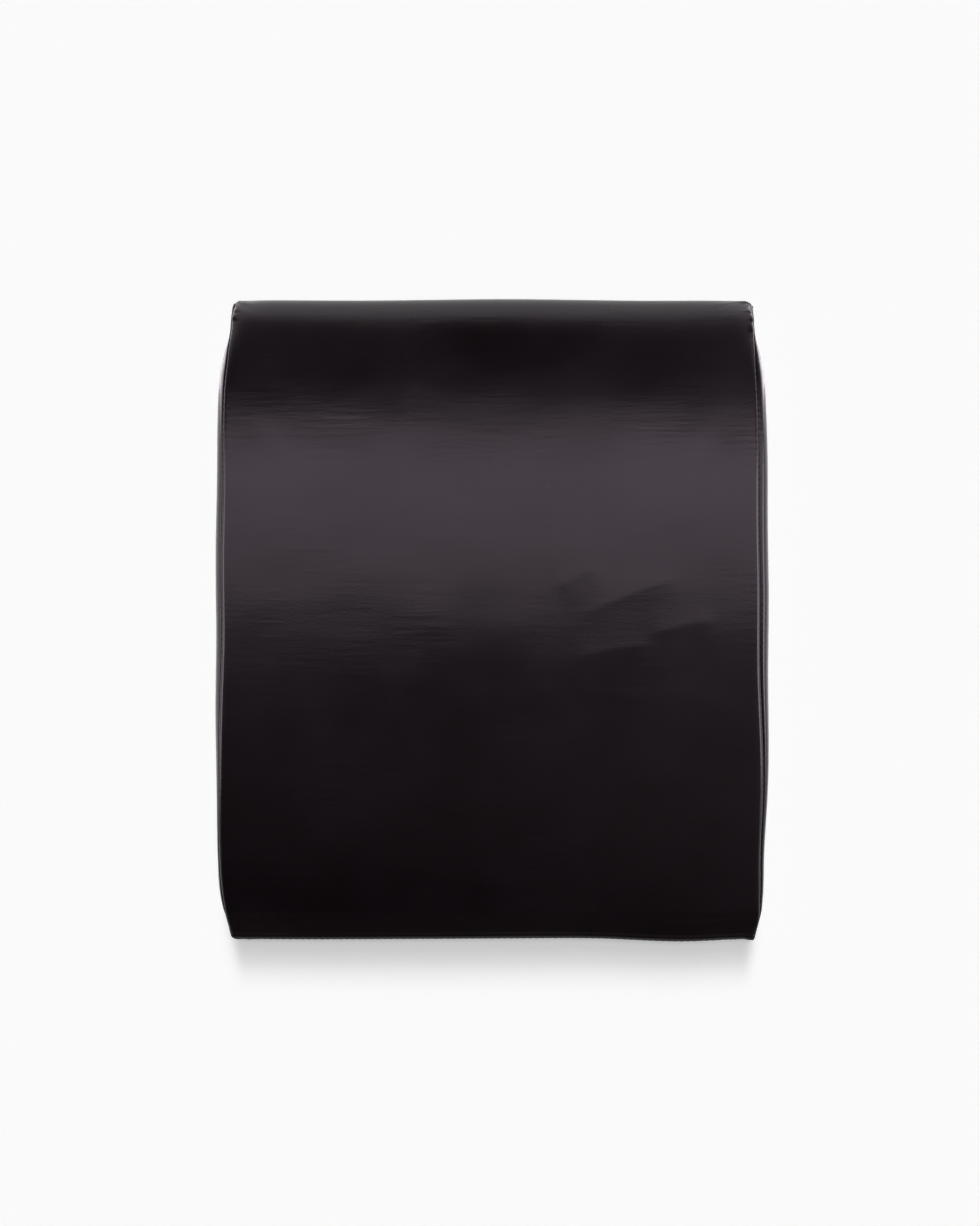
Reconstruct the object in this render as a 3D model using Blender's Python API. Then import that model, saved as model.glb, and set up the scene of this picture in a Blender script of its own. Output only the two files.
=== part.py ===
"""Ab mat: an arched foam pad in a sewn faux-leather cover, closed by a zip in its tall end.

The mat lies on its base, as it is used. X is its width, Y its length and Z its height.
The tall end with the zip is at -Y, the low rounded nose at +Y. The origin is on the floor
under the middle of the mat. All sizes are in metres.
"""
import math
from collections import namedtuple

import bmesh
import bpy

for old_object in list(bpy.data.objects):
    bpy.data.objects.remove(old_object, do_unlink=True)

# Size of the covered mat
mat_length = 0.370
mat_width = 0.310
mat_height = 0.065

# Side view: the crest, the tall rear end and the low nose
crest_y = 0.008
rear_seam_height = 0.037
rear_wall_bulge = 0.0035
rear_seam_roll = 0.0015
rear_seam_roll_length = 0.010
nose_height = 0.018
nose_tuck = 0.006
nose_turn_share = 0.25
nose_drop_share = 0.5
crest_reach = 0.110
nose_reach = 0.022
base_seam_height = 0.0035
base_corner_length = 0.0035

# Front view: the crown across the width, the rounded edges and the drawn-in ends
top_crown = 0.0020
nose_crown = 0.0015
edge_roll = 0.006
top_edge_drop = 0.005
wall_edge_drop = 0.004
nose_edge_drop = 0.004
base_edge_drop = 0.0022
gusset_bulge = 0.0028
gusset_groove = 0.0002
nose_draw = 0.004
nose_draw_length = 0.035
rear_draw = 0.003
rear_draw_length = 0.030

# Cover, and the gaps that keep the pieces apart
cover_thickness = 0.0012
seam_gap = 0.0004
core_gap = 0.0004

# Mouth of the cover, where the zip shows between two rolled lips
zip_height = 0.020
mouth_half_height = 0.0045
mouth_taper = 0.010
lip_roll = 0.0045
bay_half_height = 0.0115
bay_fade = 0.0035
bay_taper = 0.007
bay_overrun = 0.003

# Zip tapes, teeth and stops
tape_thickness = 0.0006
tape_gap = 0.0003
tape_width = 0.0072
tape_end_margin = 0.0084
tape_overhang = 0.016
tooth_pitch = 0.0029
zip_cord_thickness = 0.0014
tooth_height = 0.0024
tooth_depth = 0.0024
teeth_opening = 0.0011
stop_length = 0.003
stop_gap = 0.0006

# Zip slider, with its lugs and pin, and the pull tab
slider_length = 0.012
slider_front_width = 0.0084
slider_rear_width = 0.0064
slider_shoulder_share = 0.6
slider_front_chamfer = 0.0017
slider_plate = 0.001
slider_gap = 0.0003
slider_web = 0.0005
lug_spread = 0.004
lug_thickness = 0.0008
lug_length = 0.0028
pin_radius = 0.0005
pin_stand_off = 0.0014
tab_eye_radius = 0.0012
tab_eye_gap = 0.0002
tab_thickness = 0.001
tab_length = 0.020
tab_width = 0.006
tab_neck_width = 0.0032
tab_neck_length = 0.0036
tab_shoulder = 0.0014
tab_chamfer = 0.0015

# Sewing thread
thread_radius = 0.0002
thread_stand_off = 0.0005
thread_end_margin = 0.0025
seam_thread_back_share = 0.8
seam_thread_up_share = 0.6

# How finely the shapes are cut: places along each stretch, as shares of it
rear_shares = (0.0, 0.008, 0.022, 0.055, 0.14, 0.30, 0.50, 0.75, 1.0)
front_shares = (0.12, 0.24, 0.36, 0.48, 0.60, 0.70, 0.79, 0.87, 0.93, 0.97, 1.0)
wall_shares = (0.0, 0.06, 0.15, 0.35, 0.65, 0.85, 0.94, 1.0)
crown_shares = (0.0, 0.4, 0.75)
mouth_end_shares = (0.93, 0.972)
strip_shares = (0.0, 0.3, 0.6, 1.0)
edge_angles = tuple(math.radians(angle) for angle in (0, 30, 60, 90))
lip_angles = tuple(math.radians(angle) for angle in (30, 60, 90))
bulge_power = 3.2
bulge_end_power = 14.0
pin_sides = 12
tool_overrun = 0.0001
weld_distance = 0.000002
smooth_angle = math.radians(40)

# Sizes that follow from those above
half_length = mat_length / 2
seam_half_width = mat_width / 2 - gusset_bulge - gusset_groove
rear_seam_out = half_length - rear_wall_bulge
nose_seam_out = half_length - nose_tuck
core_depth = cover_thickness + core_gap
mouth_end = seam_half_width - rear_draw - edge_roll

Insets = namedtuple("Insets", "top rear nose base")
Station = namedtuple("Station", "share angle side")
NO_INSET = Insets(0, 0, 0, 0)


def mix(start, end, share):
    """The value a share of the way from start to end."""
    return start + (end - start) * share


def ease(share):
    """A smooth step from 0 to 1, flat at both ends."""
    share = min(max(share, 0), 1)
    return share * share * (3 - 2 * share)


def bezier(controls, share):
    """A point on the cubic curve through four controls."""
    rest = 1 - share
    weights = (rest**3, 3 * rest**2 * share, 3 * rest * share**2, share**3)
    return tuple(sum(w * point[axis] for w, point in zip(weights, controls)) for axis in (0, 1))


# Side view of the outline, as (y, z), for a layer that lies some way inside the skin


def rear_wall_out(z, insets):
    """How far behind the origin the bulging rear wall stands at a height."""
    share = (z - base_seam_height) / (rear_seam_height - insets.top - base_seam_height)
    share = min(max(share, 0), 1)
    return rear_seam_out + rear_wall_bulge * 4 * share * (1 - share) - insets.rear


def top_curve(insets):
    """From the rear seam over the crest to the tip of the nose."""
    points = []
    seam_y = insets.rear - rear_seam_out
    arch_rise = mat_height - rear_seam_height - rear_seam_roll
    for share in rear_shares:
        y = mix(seam_y, crest_y, share)
        roll_share = max(0, 1 - (y - seam_y) / rear_seam_roll_length)
        drop = arch_rise * (1 - share) ** 2 + rear_seam_roll * roll_share**2
        points.append((y, mat_height - insets.top - drop))
    tip_y = half_length - insets.nose
    crest_z = mat_height - insets.top
    controls = (
        (crest_y, crest_z),
        (crest_y + crest_reach, crest_z),
        (tip_y, nose_height + nose_reach),
        (tip_y, nose_height),
    )
    points += [bezier(controls, share) for share in front_shares]
    return points


def under_nose(insets, lower_end):
    """From the base seam up to the tip of the nose."""
    seam_y = nose_seam_out - insets.nose
    tip_y = half_length - insets.nose
    rise = nose_height - lower_end
    controls = (
        (seam_y, lower_end),
        (mix(seam_y, tip_y, nose_turn_share), mix(lower_end, nose_height, nose_turn_share)),
        (tip_y, nose_height - rise * nose_drop_share),
        (tip_y, nose_height),
    )
    return [bezier(controls, share) for share in wall_shares]


def rear_wall(insets, lower_end):
    """From the base seam up to the rear seam."""
    upper_end = rear_seam_height - insets.top
    heights = [mix(lower_end, upper_end, share) for share in wall_shares]
    return [(-rear_wall_out(z, insets), z) for z in heights]


def base_line(insets, end_height, along_shares):
    """From the rear base seam, round its corner, along the floor and up to the front base seam."""
    rear_y = insets.rear - rear_seam_out
    front_y = nose_seam_out - insets.nose
    points = []
    for share in along_shares:
        y = mix(rear_y, front_y, share)
        from_end = min(y - rear_y, front_y - y)
        corner_share = min(max(0, 1 - from_end / base_corner_length), 1)
        rise = 1 - math.sqrt(1 - corner_share**2)
        points.append((y, mix(insets.base, end_height, rise)))
    return points


skin_top = top_curve(NO_INSET)
top_span = skin_top[-1][0] - skin_top[0][0]
along_shares = [(y - skin_top[0][0]) / top_span for y, _ in skin_top]


def side_patch(insets, seam_shift):
    """A grid of (y, z) that fills the outline: rows from rear to nose, columns from base to top."""
    seam_z = base_seam_height + seam_shift
    top = top_curve(insets)
    bottom = base_line(insets, seam_z, along_shares)
    rear = rear_wall(insets, seam_z)
    nose = under_nose(insets, seam_z)
    corners = (rear[0], nose[0], rear[-1], nose[-1])
    grid = []
    for row, u in enumerate(along_shares):
        column = []
        for step, v in enumerate(wall_shares):
            point = []
            for axis in (0, 1):
                ruled = mix(bottom[row][axis], top[row][axis], v) + mix(rear[step][axis], nose[step][axis], u)
                low = mix(corners[0][axis], corners[1][axis], u)
                high = mix(corners[2][axis], corners[3][axis], u)
                point.append(ruled - mix(low, high, v))
            column.append(tuple(point))
        grid.append(column)
    return grid


# Front view: how wide the mat is, and how its layers turn down at the edges


def half_width_at(y):
    """Half the width between the side seams, which the ends draw in."""
    nose_share = max(0, (y - half_length + nose_draw_length) / nose_draw_length)
    rear_share = max(0, (rear_draw_length - half_length - y) / rear_draw_length)
    return seam_half_width - nose_draw * nose_share**2 - rear_draw * rear_share**2


def stations(inner_shares):
    """Places across the mat, from its left edge to its right."""
    inner = [Station(share, 0, 1) for share in inner_shares]
    right = inner + [Station(1, angle, 1) for angle in edge_angles]
    left = [Station(place.share, place.angle, -1) for place in right[1:]]
    return left[::-1] + right


def station_x(place, half_width, depth):
    """The place's x on a layer that lies a depth inside the skin."""
    flat_end = half_width - edge_roll
    return place.side * (flat_end * place.share + (edge_roll - depth) * math.sin(place.angle))


def station_insets(place, depth, extra=0):
    """How far each face of a layer lies inside the outline at that place."""
    across_share = abs(station_x(place, seam_half_width, 0)) / seam_half_width
    turn = math.cos(place.angle)

    def rolled(drop):
        return drop + extra - (drop - depth) * turn

    return Insets(
        rolled(top_edge_drop) + top_crown * across_share**2,
        rolled(wall_edge_drop),
        rolled(nose_edge_drop) + nose_crown * across_share**2,
        rolled(base_edge_drop),
    )


panel_stations = stations(crown_shares)
wall_stations = stations(crown_shares + mouth_end_shares)
skin_patch = side_patch(NO_INSET, 0)
half_widths = [[half_width_at(y) for y, _ in column] for column in skin_patch]


# Meshes


def add_object(name, verts, faces, material):
    """A mesh object whose faces point outwards."""
    mesh = bpy.data.meshes.new(name)
    mesh.from_pydata(verts, [], faces)
    shell = bmesh.new()
    shell.from_mesh(mesh)
    bmesh.ops.remove_doubles(shell, verts=shell.verts, dist=weld_distance)
    bmesh.ops.recalc_face_normals(shell, faces=shell.faces)
    shell.to_mesh(mesh)
    shell.free()
    mesh.shade_smooth()
    mesh.set_sharp_from_angle(angle=smooth_angle)
    thing = bpy.data.objects.new(name, mesh)
    bpy.context.collection.objects.link(thing)
    mesh.materials.append(material)
    return thing


def grid_faces(rows, columns, start=0):
    """Quads between neighbouring points of a grid."""
    faces = []
    for row in range(rows - 1):
        for column in range(columns - 1):
            corner = start + row * columns + column
            faces.append((corner, corner + 1, corner + columns + 1, corner + columns))
    return faces


def add_sheet(name, outer, inner, material):
    """A closed sheet between two grids of points of the same size."""
    rows = len(outer)
    columns = len(outer[0])
    count = rows * columns
    verts = [point for row in outer for point in row] + [point for row in inner for point in row]
    faces = grid_faces(rows, columns)
    faces += [tuple(reversed(face)) for face in grid_faces(rows, columns, count)]
    border = list(range(columns))
    border += [row * columns + columns - 1 for row in range(1, rows)]
    border += [(rows - 1) * columns + column for column in range(columns - 2, -1, -1)]
    border += [row * columns for row in range(rows - 2, 0, -1)]
    for here, after in zip(border, border[1:] + border[:1]):
        faces.append((after, here, here + count, after + count))
    return add_object(name, verts, faces, material)


def add_box(name, low, high, material):
    """A box between two corners."""
    verts = [(x, y, z) for x in (low[0], high[0]) for y in (low[1], high[1]) for z in (low[2], high[2])]
    faces = [(0, 1, 3, 2), (4, 6, 7, 5), (0, 4, 5, 1), (2, 3, 7, 6), (0, 2, 6, 4), (1, 5, 7, 3)]
    return add_object(name, verts, faces, material)


def add_plate(name, outline, near_y, far_y, material):
    """A plate with an outline in x and z, between two values of y."""
    count = len(outline)
    verts = [(x, near_y, z) for x, z in outline] + [(x, far_y, z) for x, z in outline]
    faces = [tuple(range(count)), tuple(range(2 * count - 1, count - 1, -1))]
    for here in range(count):
        after = (here + 1) % count
        faces.append((here, after, after + count, here + count))
    return add_object(name, verts, faces, material)


def add_rod(name, centre, radius, length, material):
    """A round rod along z."""
    low_z = centre[2] - length / 2
    high_z = centre[2] + length / 2
    ring = []
    for side in range(pin_sides):
        angle = math.tau * side / pin_sides
        ring.append((centre[0] + radius * math.cos(angle), centre[1] + radius * math.sin(angle)))
    verts = [(x, y, low_z) for x, y in ring] + [(x, y, high_z) for x, y in ring]
    faces = [tuple(range(pin_sides)), tuple(range(2 * pin_sides - 1, pin_sides - 1, -1))]
    for here in range(pin_sides):
        after = (here + 1) % pin_sides
        faces.append((here, after, after + pin_sides, here + pin_sides))
    return add_object(name, verts, faces, material)


def add_thread(name, path, closed, flat_axis, material):
    """A thread of square section along a path; flat_axis is square to the path all along."""
    verts = []
    faces = []
    count = len(path)
    for here in range(count):
        before = path[here - 1] if closed or here else path[here]
        after = path[(here + 1) % count] if closed or here < count - 1 else path[here]
        run = [b - a for a, b in zip(before, after)]
        side = cross(run, flat_axis)
        length = math.sqrt(sum(value * value for value in side))
        for across, along in ((1, 0), (0, 1), (-1, 0), (0, -1)):
            offset = [across * side[k] / length + along * flat_axis[k] for k in range(3)]
            verts.append(tuple(path[here][k] + offset[k] * thread_radius for k in range(3)))
    for here in range(count if closed else count - 1):
        after = (here + 1) % count
        for corner in range(4):
            beside = (corner + 1) % 4
            faces.append((4 * here + corner, 4 * here + beside, 4 * after + beside, 4 * after + corner))
    if not closed:
        faces.append((0, 1, 2, 3))
        faces.append(tuple(4 * count - 1 - corner for corner in range(4)))
    return add_object(name, verts, faces, material)


def cross(a, b):
    """The vector square to two others."""
    return (a[1] * b[2] - a[2] * b[1], a[2] * b[0] - a[0] * b[2], a[0] * b[1] - a[1] * b[0])


def change_by(thing, tool, operation):
    """Join a tool to a thing, or cut it out, and keep the tool out of the model."""
    step = thing.modifiers.new(tool.name, "BOOLEAN")
    step.operation = operation
    step.object = tool
    tool.hide_render = True
    tool.display_type = "WIRE"


def surface_material(name, colour, roughness, metallic=0.0):
    """A plain Principled material."""
    material = bpy.data.materials.new(name)
    material.use_nodes = True
    shader = material.node_tree.nodes["Principled BSDF"]
    shader.inputs["Base Color"].default_value = (*colour, 1)
    shader.inputs["Roughness"].default_value = roughness
    shader.inputs["Metallic"].default_value = metallic
    return material


# Cover panels


def layer_point(place, half_width, depth, point):
    """A side view point, placed across the mat on a layer."""
    return (station_x(place, half_width, depth), point[0], point[1])


def top_panel_layer(depth):
    """Rows from the rear seam, over the crest and round the nose, to the front base seam."""
    by_place = []
    for place in panel_stations:
        insets = station_insets(place, depth)
        run = top_curve(insets) + under_nose(insets, base_seam_height + seam_gap / 2)[-2::-1]
        by_place.append(run)
    row_widths = [column[-1] for column in half_widths] + half_widths[-1][-2::-1]
    rows = []
    for row, half_width in enumerate(row_widths):
        rows.append([layer_point(p, half_width, depth, run[row]) for p, run in zip(panel_stations, by_place)])
    return rows


def base_panel_layer(depth):
    """Rows from the rear base seam, along the floor, to the front base seam."""
    rows = []
    runs = []
    for place in panel_stations:
        insets = station_insets(place, depth)
        runs.append(base_line(insets, base_seam_height - seam_gap / 2, along_shares))
    for row, column in enumerate(half_widths):
        rows.append([layer_point(p, column[0], depth, run[row]) for p, run in zip(panel_stations, runs)])
    return rows


def mouth_share(x):
    """1 along the zip, 0 where the strips are sewn together beyond its ends."""
    return ease((mouth_end - abs(x)) / mouth_taper)


def rear_half_width(z, insets):
    """Half the width of the rear wall at a height on a layer, as the skin has it at that share of the wall."""
    share = (z - base_seam_height) / (rear_seam_height - insets.top - base_seam_height)
    skin_z = mix(base_seam_height, rear_seam_height, share)
    return half_width_at(-rear_wall_out(skin_z, NO_INSET))


def strip_layer(depth, upper):
    """Rows of one rear strip, from its seam to its rolled lip beside the zip."""
    side = 1 if upper else -1
    columns = []
    for place in wall_stations:
        insets = station_insets(place, depth)
        share = mouth_share(station_x(place, mouth_end + edge_roll, 0)) if place.angle == 0 else 0
        seam_z = base_seam_height + seam_gap / 2
        if upper:
            seam_z = rear_seam_height - insets.top - seam_gap
        lip_z = zip_height + side * mix(seam_gap / 2, mouth_half_height, share)
        roll_z = lip_z + side * lip_roll
        drop = share * (rear_wall_out(lip_z, station_insets(place, 0)) - lip_out)
        column = []
        for along in strip_shares:
            z = mix(seam_z, roll_z, along)
            column.append((-rear_wall_out(z, insets), z))
        for angle in lip_angles:
            reach = lip_roll - depth * share
            z = roll_z - side * reach * math.sin(angle)
            wall_out = rear_wall_out(mix(roll_z, lip_z, math.sin(angle)), insets) + depth * share
            out = wall_out - drop + (drop - depth * share) * math.cos(angle)
            column.append((-out, z))
        widths = [rear_half_width(z, insets) for _, z in column]
        columns.append([layer_point(place, width, depth, point) for width, point in zip(widths, column)])
    return [list(row) for row in zip(*columns)]


def gusset_layer(side, depth):
    """Rows over the bulging side panel, from the rear to the nose."""
    edge = Station(1, edge_angles[-1], 1)
    insets = station_insets(edge, 0, seam_gap)
    patch = side_patch(insets, 0)
    rows = []
    for row, column in enumerate(patch):
        rows.append(side_row(side, column, half_widths[row], along_shares[row], gusset_groove - depth))
    return rows


def side_row(side, column, widths, along, shift):
    """One row of a bulging side face."""
    points = []
    for (y, z), half_width, up in zip(column, widths, wall_shares):
        swell = math.sqrt(1 - abs(2 * up - 1) ** bulge_power)
        swell *= math.sqrt(1 - abs(2 * along - 1) ** bulge_end_power)
        points.append((side * (half_width + shift + gusset_bulge * swell), y, z))
    return points


# Foam core


def bay_depth_share(x):
    """1 behind the zip, 0 near the ends of the rear wall."""
    return ease((mouth_end + bay_overrun - abs(x)) / bay_taper)


def core_wall_point(point, x):
    """The core's rear wall, cut back behind the zip."""
    y, z = point
    share = ease((bay_half_height + bay_fade - abs(z - zip_height)) / bay_fade)
    return (mix(y, -bay_out, share * bay_depth_share(x)), z)


def make_foam_core(material):
    """One block of foam: a loop of points at each place across the mat, and two bulging ends."""
    loops = []
    for place in wall_stations:
        insets = station_insets(place, core_depth)
        seam_z = base_seam_height
        top = top_curve(insets)
        nose = under_nose(insets, seam_z)
        bottom = base_line(insets, seam_z, along_shares)
        rear = rear_wall(insets, seam_z)
        loop = []
        for point, column in zip(top, half_widths):
            loop.append(layer_point(place, column[-1], core_depth, point))
        for point, half_width in list(zip(nose, half_widths[-1]))[-2::-1]:
            loop.append(layer_point(place, half_width, core_depth, point))
        for point, column in list(zip(bottom, half_widths))[-2::-1]:
            loop.append(layer_point(place, column[0], core_depth, point))
        for point, half_width in list(zip(rear, half_widths[0]))[1:-1]:
            x = station_x(place, half_width, core_depth)
            loop.append((x, *core_wall_point(point, x)))
        loops.append(loop)
    verts = [point for loop in loops for point in loop]
    size = len(loops[0])
    faces = []
    for row in range(len(loops) - 1):
        for here in range(size):
            after = (here + 1) % size
            near = row * size
            faces.append((near + here, near + after, near + size + after, near + size + here))
    patch = side_patch(station_insets(wall_stations[-1], core_depth), 0)
    for side in (-1, 1):
        start = len(verts)
        for row, column in enumerate(patch):
            verts += side_row(side, column, half_widths[row], along_shares[row], -core_depth)
        faces += grid_faces(len(patch), len(wall_shares), start)
    return add_object("foam_core", verts, faces, material)


# Zip; "out" is measured backwards from the origin, along -Y

pin_room = pin_stand_off + tab_eye_radius
zip_out = half_length - pin_room - slider_plate - slider_gap - tooth_depth / 2
lip_out = zip_out + tape_thickness / 2 + tape_gap
teeth_face = zip_out + tooth_depth / 2
teeth_back = zip_out - tooth_depth / 2
outer_plate_out = teeth_face + slider_gap
inner_plate_out = teeth_back - slider_gap
bay_out = inner_plate_out - slider_plate - core_gap
pin_out = outer_plate_out + slider_plate + pin_stand_off
tape_half_length = mouth_end - tape_end_margin
stop_x = tape_half_length - tape_overhang
slider_x = stop_x - stop_gap - slider_length / 2
tape_inner_edge = teeth_opening / 2 + tooth_height + tape_gap


def make_tape(name, side, material):
    """One half of the zip's tape, tucked behind its strip."""
    near = zip_height + side * tape_inner_edge
    far = near + side * tape_width
    low = (-tape_half_length, -zip_out - tape_thickness / 2, min(near, far))
    high = (tape_half_length, -zip_out + tape_thickness / 2, max(near, far))
    return add_box(name, low, high, material)


def make_teeth(name, side, material):
    """One row of teeth, joined by the cord that they are moulded round, along the edge of its tape."""
    middle_z = zip_height + side * (teeth_opening + tooth_height) / 2
    count = int((2 * stop_x - 2 * stop_gap) / tooth_pitch)
    first = -tooth_pitch * count / 2
    rings = []
    for step in range(2 * count + 1):
        thickness = tooth_depth if step % 2 else zip_cord_thickness
        height = tooth_height if step % 2 else zip_cord_thickness
        for out, up in ((-1, -1), (1, -1), (1, 1), (-1, 1)):
            x = first + tooth_pitch / 2 * step
            rings.append((x, out * thickness / 2 - zip_out, middle_z + up * height / 2))
    faces = [(0, 1, 2, 3), tuple(len(rings) - 1 - corner for corner in range(4))]
    for start in range(0, len(rings) - 4, 4):
        for corner in range(4):
            beside = (corner + 1) % 4
            faces.append((start + corner, start + beside, start + 4 + beside, start + 4 + corner))
    return add_object(name, rings, faces, material)


def make_stops(material):
    """A stop on each tape at the closed end, and one across both at the open end."""
    reach = teeth_opening / 2 + tooth_height
    for name, side in (("lower", -1), ("upper", 1)):
        near = zip_height + side * teeth_opening / 2
        far = zip_height + side * reach
        low = (stop_x, -teeth_face, min(near, far))
        high = (stop_x + stop_length, -teeth_back, max(near, far))
        add_box(f"{name}_zip_top_stop", low, high, material)
    low = (-stop_x - stop_length, -teeth_face, zip_height - reach)
    add_box("zip_bottom_stop", low, (-stop_x, -teeth_back, zip_height + reach), material)


def slider_outline():
    """The slider seen from behind: wide where it parts the teeth, narrow where it has joined them."""
    front = slider_x + slider_length / 2
    rear = slider_x - slider_length / 2
    half_front = slider_front_width / 2
    half_rear = slider_rear_width / 2
    shoulder = mix(slider_x, front, slider_shoulder_share)
    right = [(rear, half_rear), (slider_x, half_front), (shoulder, half_front)]
    right += [(front, half_front - slider_front_chamfer)]
    outline = [(x, zip_height - z) for x, z in right] + [(x, zip_height + z) for x, z in reversed(right)]
    return outline


def make_slider(material):
    """Two plates joined by a web that runs between the rows of teeth, and lugs with a pin."""
    outline = slider_outline()
    plate_top = outer_plate_out + slider_plate
    slider = add_plate("zip_slider", outline, -outer_plate_out, -plate_top, material)
    back = add_plate("slider_back_tool", outline, -inner_plate_out, slider_plate - inner_plate_out, material)
    change_by(slider, back, "UNION")
    web_half = slider_web / 2
    web_reach = slider_length / 4
    low = (slider_x - web_reach, -outer_plate_out - tool_overrun, zip_height - web_half)
    high = (slider_x + web_reach, -inner_plate_out + tool_overrun, zip_height + web_half)
    change_by(slider, add_box("slider_web_tool", low, high, material), "UNION")
    lug_top = pin_out + pin_radius * 2
    for side in (-1, 1):
        near = zip_height + side * lug_spread / 2
        far = near + side * lug_thickness
        low = (slider_x - lug_length / 2, -lug_top, min(near, far))
        high = (slider_x + lug_length / 2, -plate_top + tool_overrun, max(near, far))
        change_by(slider, add_box(f"slider_lug_tool{side}", low, high, material), "UNION")
    centre = (slider_x, -pin_out, zip_height)
    pin = add_rod("slider_pin_tool", centre, pin_radius, lug_spread + lug_thickness, material)
    change_by(slider, pin, "UNION")
    place_origin(slider, centre)
    return slider


def make_pull_tab(material):
    """The tab lies back over the closed teeth, with its eye round the slider's pin."""
    neck = tab_neck_width / 2
    half = tab_width / 2
    neck_end = slider_x - tab_neck_length
    shoulder_end = neck_end - tab_shoulder
    tip = slider_x - tab_length
    lower = [(slider_x, neck), (neck_end, neck), (shoulder_end, half), (tip + tab_chamfer, half)]
    lower += [(tip, half - tab_chamfer)]
    outline = [(x, zip_height - z) for x, z in lower] + [(x, zip_height + z) for x, z in reversed(lower)]
    near = tab_thickness / 2 - pin_out
    tab = add_plate("zip_pull_tab", outline, near, near - tab_thickness, material)
    centre = (slider_x, -pin_out, zip_height)
    eye = add_rod("tab_eye_tool", centre, tab_eye_radius, tab_neck_width, material)
    change_by(tab, eye, "UNION")
    bore_length = tab_neck_width + 2 * tool_overrun
    bore = add_rod("tab_bore_tool", centre, pin_radius + tab_eye_gap, bore_length, material)
    change_by(tab, bore, "DIFFERENCE")
    place_origin(tab, centre)
    return tab


def place_origin(thing, centre):
    """Put an object's origin on its joint's axis, with its shape left where it is."""
    for vertex in thing.data.vertices:
        vertex.co = [value - shift for value, shift in zip(vertex.co, centre)]
    thing.location = centre


# Sewing threads


def make_gusset_thread(name, side, material):
    """The seam thread round one gusset, in the groove between it and the other panels."""
    insets = station_insets(Station(1, edge_angles[-1], 1), 0, seam_gap / 2)
    patch = side_patch(insets, 0)
    last_row = len(patch) - 1
    last_step = len(wall_shares) - 1
    border = [(row, last_step) for row in range(last_row + 1)]
    border += [(last_row, step) for step in range(last_step - 1, -1, -1)]
    border += [(row, 0) for row in range(last_row - 1, -1, -1)]
    border += [(0, step) for step in range(1, last_step)]
    path = []
    for row, step in border:
        y, z = patch[row][step]
        path.append((side * (half_widths[row][step] + gusset_groove + thread_stand_off), y, z))
    return add_thread(name, path, True, (1, 0, 0), material)


def make_cross_thread(name, place_point, material, seam_width):
    """A seam thread from side to side, square to Y."""
    path = []
    for place in panel_stations:
        x = station_x(place, seam_width, 0)
        if abs(x) < seam_width - thread_end_margin:
            path.append((x, *place_point(station_insets(place, 0))))
    return add_thread(name, path, False, (0, 1, 0), material)


def rear_seam_point(insets):
    """Just outside the edge where the top panel meets the upper strip."""
    y = insets.rear - rear_seam_out - thread_stand_off * seam_thread_back_share
    z = rear_seam_height - insets.top - seam_gap / 2 + thread_stand_off * seam_thread_up_share
    return (y, z)


def rear_base_point(insets):
    """Just outside the seam of the base panel and the lower strip."""
    return (insets.rear - rear_seam_out - thread_stand_off, base_seam_height)


def front_base_point(insets):
    """Just outside the seam of the base panel and the top panel."""
    return (nose_seam_out - insets.nose + thread_stand_off, base_seam_height)


def make_zip_stitching(name, side, material):
    """The straight row that holds a strip to its tape, just before the strip's lip rolls in."""
    z = zip_height + side * (mouth_half_height + lip_roll)
    y = -rear_wall_out(z, NO_INSET) - thread_stand_off
    end = mouth_end - mouth_taper
    return add_thread(name, [(-end, y, z), (end, y, z)], False, (0, 1, 0), material)


def main():
    """Make every piece of the mat."""
    leather = surface_material("black_faux_leather", (0.012, 0.011, 0.012), 0.38)
    non_slip = surface_material("non_slip_vinyl", (0.015, 0.015, 0.015), 0.8)
    foam = surface_material("black_foam", (0.03, 0.03, 0.03), 0.9)
    tape = surface_material("zip_tape", (0.012, 0.012, 0.012), 0.85)
    plastic = surface_material("zip_teeth_plastic", (0.02, 0.02, 0.02), 0.35)
    metal = surface_material("black_zip_metal", (0.03, 0.03, 0.03), 0.3, 0.9)
    thread = surface_material("black_thread", (0.02, 0.02, 0.02), 0.6)

    make_foam_core(foam)
    add_sheet("top_panel", top_panel_layer(0), top_panel_layer(cover_thickness), leather)
    add_sheet("base_panel", base_panel_layer(0), base_panel_layer(cover_thickness), non_slip)
    add_sheet("lower_zip_strip", strip_layer(0, False), strip_layer(cover_thickness, False), leather)
    add_sheet("upper_zip_strip", strip_layer(0, True), strip_layer(cover_thickness, True), leather)
    for name, side in (("left", -1), ("right", 1)):
        add_sheet(f"{name}_gusset", gusset_layer(side, 0), gusset_layer(side, cover_thickness), leather)
        make_gusset_thread(f"{name}_gusset_thread", side, thread)

    for name, side in (("lower", -1), ("upper", 1)):
        make_tape(f"{name}_zip_tape", side, tape)
        make_teeth(f"{name}_zip_teeth", side, plastic)
        make_zip_stitching(f"{name}_zip_stitching", side, thread)
    make_stops(metal)
    make_slider(metal)
    make_pull_tab(metal)

    rear_width = half_width_at(-rear_seam_out)
    front_width = half_width_at(nose_seam_out)
    make_cross_thread("rear_seam_thread", rear_seam_point, thread, rear_width)
    make_cross_thread("rear_base_thread", rear_base_point, thread, rear_width)
    make_cross_thread("front_base_thread", front_base_point, thread, front_width)


main()
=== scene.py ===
"""Looks of the ab mat: an arched foam pad in a sewn, black faux-leather cover that a zip closes.

The mat lies on its base, X across it, Y along it, with the tall zipped end at -Y and the low
nose at +Y. All sizes are in metres. The camera looks straight down, as the photograph does.
"""
import math
from collections import namedtuple

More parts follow.
